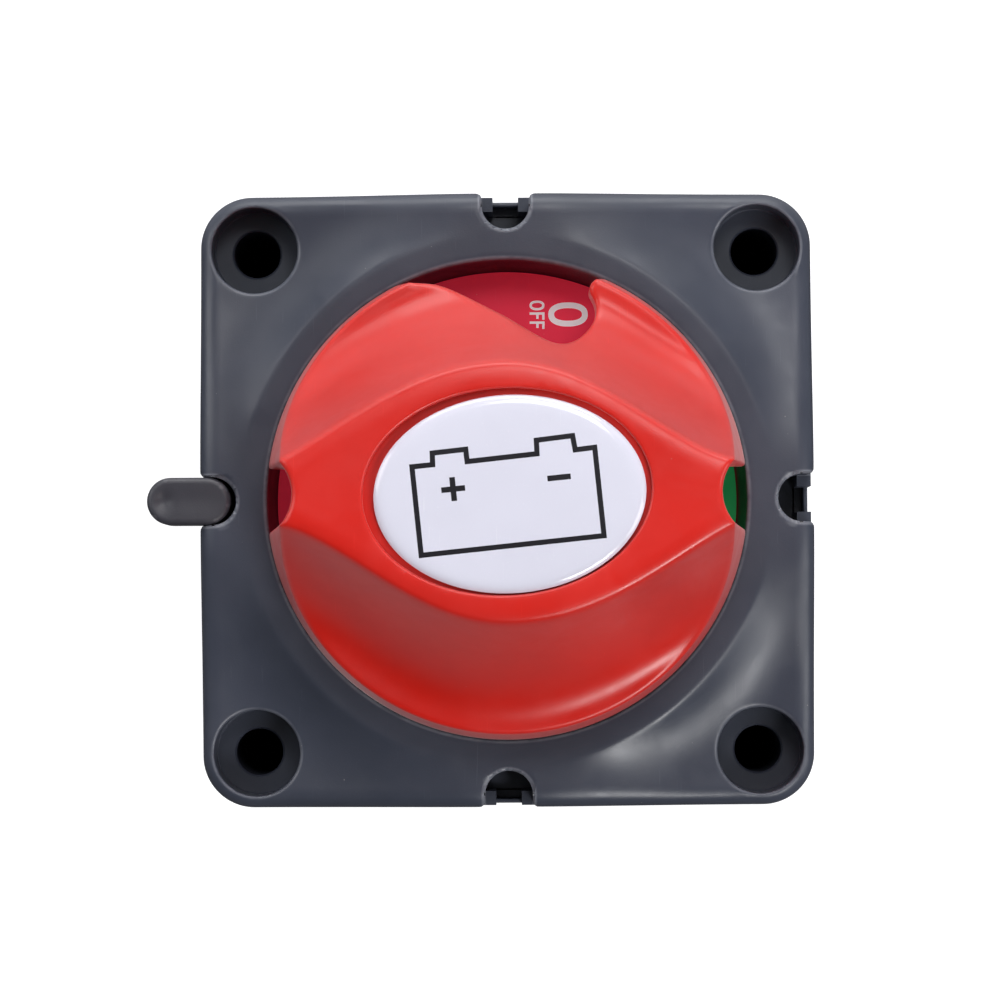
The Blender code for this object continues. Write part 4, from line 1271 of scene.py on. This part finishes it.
def glyph(letter, height, width, pen):
    """Loops of a plain upright letter about the origin: its outline, then any hollow."""
    top, side = height / 2, width / 2
    stem = pen - side  # right edge of the left stem
    if letter == "O":
        return [superellipse(side, top, 2.3, 60), superellipse(side - pen, top - pen, 2.3, 60)]
    if letter == "I":
        return [[(-pen / 2, -top), (pen / 2, -top), (pen / 2, top), (-pen / 2, top)]]
    if letter == "F":
        low, high = -pen * 0.35, pen * 0.65
        return [[
            (-side, -top), (stem, -top), (stem, low), (side * 0.75, low), (side * 0.75, high),
            (stem, high), (stem, top - pen), (side, top - pen), (side, top), (-side, top),
        ]]
    bend = top - 2.1 * pen
    return [[
        (-side, -top), (stem, -top), (stem, bend), (side - pen, -top), (side, -top),
        (side, top), (side - pen, top), (side - pen, -bend), (stem, top), (-side, top),
    ]]


def placed_glyph(letter, height, width, pen, x, y, quarter):
    """A letter upright along +X, reading towards -Y, then turned."""
    loops = [np.asarray(loop, float) for loop in glyph(letter, height, width, pen)]
    loops = [resample(np.c_[x + loop[:, 1], y - loop[:, 0]], 0.5) for loop in loops]
    return [quarter_turned(loop, quarter) for loop in loops]


def build_dial():
    """A flat ring, red in one half and green in the other, with white print."""
    shell = Shell()
    for half, (quarter, letters) in enumerate(DIAL_PRINT):
        angles = math.radians(45 + 180 * half) + np.linspace(0, math.pi, 181)
        out, back = polar(DIAL_OUTER, angles), polar(DIAL_INNER, angles[::-1])
        there = resample([out[-1], back[0]], 0.5, closed=False)[1:-1]
        home = resample([back[-1], out[0]], 0.5, closed=False)[1:-1]
        ring = np.concatenate([out, there, back, home])
        prints = [placed_glyph(*letter, quarter) for letter in letters]
        loops = [ring, *(loop for print_loops in prints for loop in print_loops)]
        grid = hex_grid((-26, -26), (26, 26), 1.1)
        grid = spaced(grid[inside(grid, ring)], np.concatenate(loops), 0.35)
        points, faces, _ = skin(loops, extra=grid)
        centre = points[faces].mean(axis=1)
        white = np.zeros(len(faces), bool)
        for outline, *hollows in prints:
            here = inside(centre, outline)
            for hollow in hollows:
                here &= ~inside(centre, hollow)
            white |= here
        shell.add(at_height(points, DIAL_TOP), faces, [2 if w else half for w in white])
    angles = np.radians(45) + np.linspace(0, 2 * np.pi, 361)[:-1]
    outer, inner = polar(DIAL_OUTER, angles), polar(DIAL_INNER, angles)
    shell.loft([*levels(outer, DIAL_TOP, DIAL_LOW), *levels(inner, DIAL_LOW, DIAL_TOP)])
    return shell


# ------------------------------------------------------------------ joining key
KEY_X = -35.7
KEY_HALF = 4.7
KEY_R = 5.3 / 2
KEY_EDGE = 0.62
KEY_CAP_LOW = 41.8


def build_key():
    """The joining key: a pill-shaped cap on a web with two rounded heads."""
    shell = Shell()
    straight = KEY_HALF - KEY_R
    pill = []
    for side, degrees in ((1, range(-90, 91, 6)), (-1, range(90, 271, 6))):
        for angle in map(math.radians, degrees):
            x = KEY_X + side * straight + KEY_R * math.cos(angle)
            pill.append((x, KEY_R * math.sin(angle)))
    pill = resample(pill, 0.16)
    pill = pill[np.r_[True, np.hypot(*np.diff(pill, axis=0).T) > 1e-6]]
    side = outward(pill)
    rows = [pill - side * KEY_EDGE * roll_in(stop) for stop in (12, 28, 44, 60, 75, 90)]
    grid = hex_grid((KEY_X - KEY_HALF, -KEY_R), (KEY_X + KEY_HALF, KEY_R), 0.17)
    grid = grid[inside(grid, pill - side * 0.7)]
    points, faces, slices = skin([pill], extra=np.concatenate([*rows, grid]))
    x, y = points[:, 0], points[:, 1]
    z = FACE_Z - rolled(loop_distance(points, pill), KEY_EDGE)
    # a small dimple near the left end, and a broad shallow one in the middle
    dimple = np.hypot(x - (KEY_X - KEY_HALF + 1.9), y * 0.9)
    z -= 0.34 * np.exp(-((dimple / 0.95) ** 2))
    z -= 0.10 * np.exp(-(((x - (KEY_X + 0.5)) / 2.6) ** 2) - (y / 1.3) ** 2)
    surface = np.c_[points, z]
    shell.add(surface, faces)
    foot = at_height(pill - side * 0.2, 41.6)
    shell.loft([surface[slices[0]], at_height(pill, KEY_CAP_LOW), foot])
    shell.cap(foot, flip=True)
    web = rounded_box(KEY_X - 3.85, KEY_X + 3.85, -1.15, 1.15, 0.25, 3)
    shell.solid(levels(web, 33.8, KEY_CAP_LOW))
    angles = np.radians(np.linspace(-62, 62, 25))
    for end in (1, -1):
        x = KEY_X + end * (straight + KEY_R * np.cos(angles))
        head = resample(np.c_[x, end * KEY_R * np.sin(angles)], 0.25)
        small = head.mean(axis=0) + (head - head.mean(axis=0)) * 0.86
        shell.solid([at_height(small, 33.6), *levels(head, 33.95, KEY_CAP_LOW)])
    return shell


# ------------------------------------------------------------------ side panels
PANEL_HALF = 17.7
PANEL_TOP = 16.7
PANEL_EDGE = 0.22
PANEL_BACK = 33.95
BREAK_HALF = 6.5  # half the width between the break-out lines
BREAK_BEND = 12.4  # height at which they bend into an arch
BREAK_DEPTH = 0.16


def build_panel(quarter):
    """A snap-in side panel, with break-out lines and a tongue behind; drawn on (y, z)."""
    shell = Shell()

    def ring_at(x, loop):
        return quarter_turned(np.c_[np.full(len(loop), x), loop], quarter)

    outline = resample(rounded_box(-PANEL_HALF, PANEL_HALF, 0.0, PANEL_TOP, 0.6), 0.3)
    side = outward(outline)
    rows = [outline - side * PANEL_EDGE * roll_in(stop) for stop in (25, 50, 75, 90)]
    bend = np.radians(np.linspace(0, 180, 50))
    lines = [
        np.c_[np.full(60, -BREAK_HALF), np.linspace(0.8, BREAK_BEND, 60)],
        np.c_[np.full(60, BREAK_HALF), np.linspace(0.8, BREAK_BEND, 60)],
        np.c_[BREAK_HALF * np.cos(bend), BREAK_BEND + 2.2 * np.sin(bend)],
    ]
    for line in lines:
        line = resample(line, 0.25, closed=False)
        normal = np.gradient(line, axis=0)
        normal = np.c_[normal[:, 1], -normal[:, 0]] / np.hypot(*normal.T)[:, None]
        rows += [line + normal * off for off in (-0.32, -0.2, -0.1, 0.0, 0.1, 0.2, 0.32)]
    extra = thinned(np.concatenate([row[inside(row, outline)] for row in rows]), 0.06)
    extra = spaced(extra, outline, 0.012)
    grid = hex_grid((-PANEL_HALF, 0), (PANEL_HALF, PANEL_TOP), 0.55)
    grid = grid[inside(grid, outline)]
    grid = spaced(grid, np.concatenate([outline, extra]), 0.25)
    points, faces, slices = skin([outline], extra=np.concatenate([extra, grid]))
    fine = np.concatenate([resample(line, 0.08, closed=False) for line in lines])
    near = nearest(points, fine)[1]
    x = HALF - rolled(loop_distance(points, outline), PANEL_EDGE)
    x = x - BREAK_DEPTH * np.clip(1 - near / 0.26, 0, 1) ** 0.7
    surface = quarter_turned(np.c_[x, points], quarter)
    shell.add(surface, faces)
    back = ring_at(PANEL_BACK, outline)
    shell.loft([surface[slices[0]], back])
    shell.cap(back)
    tongue = rounded_box(-16.7, 16.7, 0.4, 15.7, 0.5, 4)
    small = tongue * (0.985, 0.97) + (0.0, 0.24)
    rings = [ring_at(34.1, tongue), ring_at(32.2, tongue), ring_at(31.95, small)]
    shell.loft(rings)
    shell.cap(rings[-1])
    shell.cap(rings[0])
    return shell


# ------------------------------------------------------------------ studs and fastenings
def thread_tooth(z, count):
    """Place across a helical thread at each of `count` angles: 1 and 0 at its two extremes."""
    phase = (z / THREAD_PITCH - round_angles(count) / (2 * np.pi)) % 1.0
    return np.abs(phase - 0.5) * 2


def build_stud(at):
    """An M10 stud, tip down, with a rolled thread, a chamfered tip and a round head."""
    shell = Shell()
    count, depth, radius = 72, 0.62, 4.95
    tip, shoulder = 2.5, 22.6
    rings = []
    for z in np.arange(tip, 24.01, THREAD_PITCH / 10):
        reach = radius - depth * np.clip(1.12 * thread_tooth(z, count) - 0.06, 0, 1)
        reach = np.minimum(reach, radius - 0.95 + (z - tip))
        if z > shoulder:
            reach = np.minimum(radius, reach + (z - shoulder) * 0.6)
        rings.append(at_height(circle(reach, count, at), z))
    shell.loft(rings)
    shell.cap(rings[0], flip=True)
    profile = [(4.9, 24.4), (4.9, 26.1), (7.5, 26.1), (7.5, 29.0), (0.6, 29.0)]
    head = turned_rings(rounded_profile(profile, 0.35), count, at)
    shell.loft([rings[-1], *head])
    shell.cap(head[-1])
    return shell


def build_nut(at):
    """A plain hexagon nut, chamfered on both faces, with a threaded bore."""
    shell = Shell()
    count, low, high = 180, 7.2, 15.2
    turn = (round_angles(count) + math.radians(30)) % math.radians(60) - math.radians(30)
    flat = 8.5 / np.cos(turn)
    rings = []
    insets = (0, 0.12, 0.3, 0.5, 0.75, 1.0)
    for z in [low + i for i in insets] + [high - i for i in insets[::-1]]:
        reach = np.minimum(flat, 8.25 + 1.9 * min(z - low, high - z))
        rings.append(at_height(circle(reach, count, at), z))
    for z in np.arange(high, low - 0.001, -0.15):
        flare = 0.5 * max(0.0, 1 - min(z - low, high - z) / 0.5)
        reach = 5.03 + 0.1 * (1 - thread_tooth(z, count)) + flare
        rings.append(at_height(circle(reach, count, at), z))
    shell.loft(rings, wrap=True)
    return shell


def washer_section(outer, low, high, fillet):
    """A closed (radius, height) section, from the middle of the bore."""
    inner, middle = 5.3, (low + high) / 2
    corners = [
        (inner, middle), (inner, low), (outer, low), (outer, high), (inner, high), (inner, middle)
    ]
    return rounded_profile(corners, fillet)[:-1]


def build_washer(at):
    shell = Shell()
    section = washer_section(outer=10.0, low=17.9, high=19.9, fillet=0.22)
    shell.loft(turned_rings(section, 96, at), wrap=True)
    return shell


def build_spring_washer(at):
    """A split washer that climbs 0.7 from one end to the other."""
    shell = Shell()
    section = washer_section(outer=9.0, low=15.9, high=17.4, fillet=0.2)
    rings = []
    for i in range(100):
        angle = math.radians(8 + 344 * i / 99)
        cos, sin = math.cos(angle), math.sin(angle)
        lift = 0.7 * (i / 99 - 0.5)
        rings.append(np.array([(at[0] + r * cos, at[1] + r * sin, z + lift) for r, z in section]))
    shell.solid(rings)
    return shell


def build_base_screw(at):
    """A pan-head screw with a cross recess, head down."""
    shell = Shell()
    count = 96
    angles = round_angles(count)
    cross = np.minimum(np.abs(np.sin(angles)), np.abs(np.cos(angles)))
    rings = []
    for radius in (0.06, 0.5, 1.0, 1.45, 1.6):
        arm = np.where(cross * radius < 0.32, 1.0, 0.0)
        depth = np.clip(arm * (1.65 - radius) * 0.9, 0, 1.0)
        face = 20.2 + 0.05 * (radius / 1.6) ** 2
        rings.append(np.c_[circle(radius, count, at), face + depth])
    # (radius, height) of the head's side and the shank
    profile = [
        (2.1, 20.27), (2.5, 20.42), (2.72, 20.65), (2.8, 20.95),
        (2.8, 22.1), (1.2, 22.1), (1.2, 32.4), (0.4, 33.4),
    ]
    shell.solid(rings + turned_rings(profile, count, at))
    return shell


# ------------------------------------------------------------------ stud base
BASE_LOW, BASE_TOP = 20.0, 26.0
SCREW_SEAT = 22.2
RIB_TOP = 21.0


def build_base():
    """The moulded stud base, with bosses round the studs, ribs and a barrier between them."""
    shell = Shell()
    angles = np.round(round_angles(360), 9)
    loop = softened(polar(cavity_radius(angles, gap=0.3), angles), 3)
    side = outward(loop)
    studs = [circle(5.15, 72, stud) for stud in STUDS]
    heads = [circle(3.2, 48, screw) for screw in SCREWS]
    shanks = [circle(1.7, 48, screw) for screw in SCREWS]
    # the lower face
    extra = [circle(radius, 90, stud) for stud in STUDS for radius in (10.4, 10.7, 11.0, 11.3)]
    extra += [circle(radius, 40, screw) for screw in SCREWS for radius in (3.5, 4.4, 4.7)]
    extra = np.concatenate(extra)
    extra = extra[inside(extra, loop - side * 0.7)]
    grid = hex_grid((-32, -32), (32, 32), 0.8)
    grid = grid[inside(grid, loop - side * 0.8)]
    extra = np.concatenate([extra, spaced(grid, extra, 0.4)])
    for hole in (*studs, *heads):
        extra = extra[~inside(extra, hole)]
        extra = spaced(extra, hole, 0.2)
    points, faces, slices = skin([loop - side * 0.3, *studs, *heads], [*studs, *heads], extra)
    z = np.full(len(points), BASE_LOW)
    for x, y in STUDS:
        off = np.hypot(points[:, 0] - x, points[:, 1] - y)
        z += 0.35 * np.clip((off - 10.45) / 0.4, 0, 1) * np.clip((24 - off) / 4, 0, 0.5)
    surface = np.c_[points, z]
    shell.add(surface, faces)
    # the sides, the bores and the upper face
    shell.loft([surface[slices[0]], *levels(loop, 20.7, BASE_TOP)])
    for part, stud in zip(slices[1:3], studs):
        shell.loft([surface[part], at_height(stud, BASE_TOP)])
    for part, head, shank in zip(slices[3:], heads, shanks):
        seat = at_height(head, SCREW_SEAT)
        shell.loft([surface[part], seat, *levels(shank, SCREW_SEAT, BASE_TOP)])
    points, faces, _ = skin([loop, *studs, *shanks], [*studs, *shanks])
    shell.add(at_height(points, BASE_TOP), faces)
    # the barrier and the two ribs
    wall = rounded_box(-1.25, 1.25, -20.0, 20.0, 0.5, 4)
    tip = rounded_box(-1.0, 1.0, -19.75, 19.75, 0.4, 4)
    shell.solid([at_height(tip, 0.0), *levels(wall, 0.3, RIB_TOP)])
    for y in (-12.0, 12.0):
        rib = rounded_box(-9.0, 9.0, y - 0.8, y + 0.8, 0.3, 3)
        shell.solid([at_height(rib * (0.98, 1.0), 17.6), *levels(rib, 18.0, RIB_TOP)])
    return shell


# ------------------------------------------------------------------ the pieces
build_housing().make("case_shell", [SLATE], "case", "housing", "slate_plastic", smooth=38)
build_knob().make("rotary_knob", [RED], "knob_group", "knob", "red_plastic", smooth=38)
build_badge().make(
    "domed_badge", [BADGE_WHITE, PRINT_BLACK], "knob_group", "knob_badge", "badge", smooth=50
)
build_dial().make(
    "colour_dial", [DIAL_RED, DIAL_GREEN, PRINT_WHITE], "case", "dial_plate", "dial"
)
build_key().make("joining_clip", [KEY_GREY], "key", "joining_key", "grey_plastic")
for q, place in enumerate(("right", "top", "left", "bottom")):
    panel = f"panel_{place}"
    build_panel(q).make(panel, [PANEL_SLATE], panel, f"side_{panel}", "slate_plastic")

# (builder, name, material, node replaced, slot, smoothing angle)
STUD_PARTS = [
    (build_stud, "threaded_stud", TIN, "stud", "tinned_copper", 50),
    (build_nut, "nut", STEEL, "hex_nut", "stainless", 40),
    (build_washer, "washer", STEEL, "flat_washer", "stainless", 32),
    (build_spring_washer, "split_washer", SPRING_STEEL, "spring_washer", "stainless", 32),
]
for place, stud in zip(("left", "right"), STUDS):
    for build, name, material, node, slot, smooth in STUD_PARTS:
        build(stud).make(f"{name}_{place}", [material], "case", f"{node}_{place}", slot, smooth)
for number, screw in enumerate(SCREWS, 1):
    build_base_screw(screw).make(
        f"cross_screw_{number}", [STEEL], "case", f"base_screw_{number}", "stainless"
    )
build_base().make("terminal_base", [BLACK], "case", "stud_base", "black_plastic")

# CAD nodes that stay as they are get their finishes
for node, finish, slot in (
    ("base_gasket", RUBBER, "rubber"),
    ("shaft_oring", RUBBER, "rubber"),
    ("knob_screw", STEEL, "stainless"),
    ("spindle", INNER_GREY, "grey_plastic"),
    ("contact_bridge", COPPER, "copper"),
    ("contact_spring", SPRING_STEEL, "stainless"),
    ("detent_spring_left", SPRING_STEEL, "stainless"),
    ("detent_spring_right", SPRING_STEEL, "stainless"),
    ("detent_ball_left", STEEL, "stainless"),
    ("detent_ball_right", STEEL, "stainless"),
):
    nodes[node].data.materials.clear()
    nodes[node].data.materials.append(finish)


# ------------------------------------------------------------------ stage, light and camera
def stage_look():
    """A pale glowing floor, with a painted shadow under the case (dark and not glowing there), and
    toned down in reflections.
    """
    look = Look("stage_pale")
    x, y, _ = look.split(look.mm)
    far = look.math("MAXIMUM", look.math("ABSOLUTE", x), look.math("ABSOLUTE", y))
    # painted shadow: under the case, where it shows through the holes, the floor is dark and does
    # not glow
    clear = look.span(far, low=32.4, high=33.2)
    rays = look.node("LightPath").outputs
    matt = look.mix(clear, (0.015, 0.015, 0.016, 1), (0.42, 0.42, 0.425, 1))
    behind = look.span(y, low=20.0, high=160.0)
    mirrored_tone = look.mix(behind, (0.07, 0.07, 0.072, 1), (0.8, 0.8, 0.81, 1))
    look.set("Base Color", look.mix(rays["Is Glossy Ray"], matt, mirrored_tone))
    look.set("Roughness", 0.9)
    look.set("Specular IOR Level", 0.0)
    look.set("Emission Color", (1, 1, 1, 1))
    glow = look.span(
        rays["Is Camera Ray"], low=0.0, high=1.0, to_low=0.03, to_high=0.88, kind="LINEAR"
    )
    look.set("Emission Strength", look.times(clear, glow))
    return look.material


def pale_room():
    """A world brighter towards +Y, and evenly pale where the camera looks past the floor."""
    world = bpy.data.worlds.new("pale_room")
    world.use_nodes = True
    room = Graph(world.node_tree)
    sky = world.node_tree.nodes["Background"]
    sky.inputs[0].default_value = (0.93, 0.95, 1.0, 1.0)
    direction = room.split(room.node("TexCoord").outputs["Generated"])
    fade = room.span(direction[1], low=-0.75, high=0.75, to_low=0.03, to_high=0.34)
    seen = room.node("LightPath").outputs["Is Camera Ray"]
    strength = room.node("Mix", {"Factor": seen, "A": fade, "B": 0.93})
    room.feed(sky.inputs[1], strength.outputs[0])
    return world


def soft_box(name, place, target, size, power):
    light = bpy.data.lights.new(name, "AREA")
    light.shape = "RECTANGLE"
    light.size, light.size_y = size
    light.energy = power
    light.color = (1, 1, 1)
    made = bpy.data.objects.new(name, light)
    made.location = place
    aim = Vector(target) - Vector(place)
    made.rotation_euler = aim.to_track_quat("-Z", "Y").to_euler()
    scene.collection.objects.link(made)


def add_camera(place, aim, roll, focal_length):
    """A camera looking from `place` to `aim`, rolled about its line of sight."""
    lens = bpy.data.cameras.new("camera")
    lens.lens, lens.sensor_width = focal_length, 36.0
    lens.clip_start, lens.clip_end = 0.01, 10.0
    camera = bpy.data.objects.new("camera", lens)
    look = (aim - place).normalized()
    right = look.cross(Vector((0, 1, 0))).normalized()
    up = right.cross(look).normalized()
    cos, sin = math.cos(roll), math.sin(roll)
    rows = (right * cos + up * sin, -right * sin + up * cos, -look)
    pose = Matrix(rows).transposed().to_4x4()
    pose.translation = place
    camera.matrix_world = pose
    scene.collection.objects.link(camera)
    scene.camera = camera


scene = bpy.context.scene
bpy.ops.mesh.primitive_plane_add(size=8.0, location=(0, 0, -0.0002))
floor = bpy.context.object
floor.name = "stage_floor"
floor.data.materials.append(stage_look())
scene.world = pale_room()

LOW_AIM = (0, 0, 0.03)
soft_box("soft_box_top", (0.0, 0.50, 0.235), target=(0, 0, 0.04), size=(0.6, 0.36), power=2.5)
soft_box("soft_box_left", (-0.42, 0.16, 0.32), target=LOW_AIM, size=(0.22, 0.4), power=0.75)
soft_box("soft_box_right", (0.42, -0.15, 0.30), target=LOW_AIM, size=(0.2, 0.36), power=0.72)
soft_box("soft_box_over", (0.12, 0.42, 0.86), target=LOW_AIM, size=(0.30, 0.30), power=1.9)
soft_box("soft_box_low", (0.26, -0.40, 0.46), target=LOW_AIM, size=(0.2, 0.2), power=1.8)

add_camera(
    place=Vector((0.00006, -0.01362, 0.548)),
    aim=Vector((-0.00069, -0.000205, 0.048)),
    roll=math.radians(-0.37),
    focal_length=160.45,
)
scene.view_settings.view_transform = "Standard"
scene.view_settings.look = "None"

bpy.context.view_layer.update()
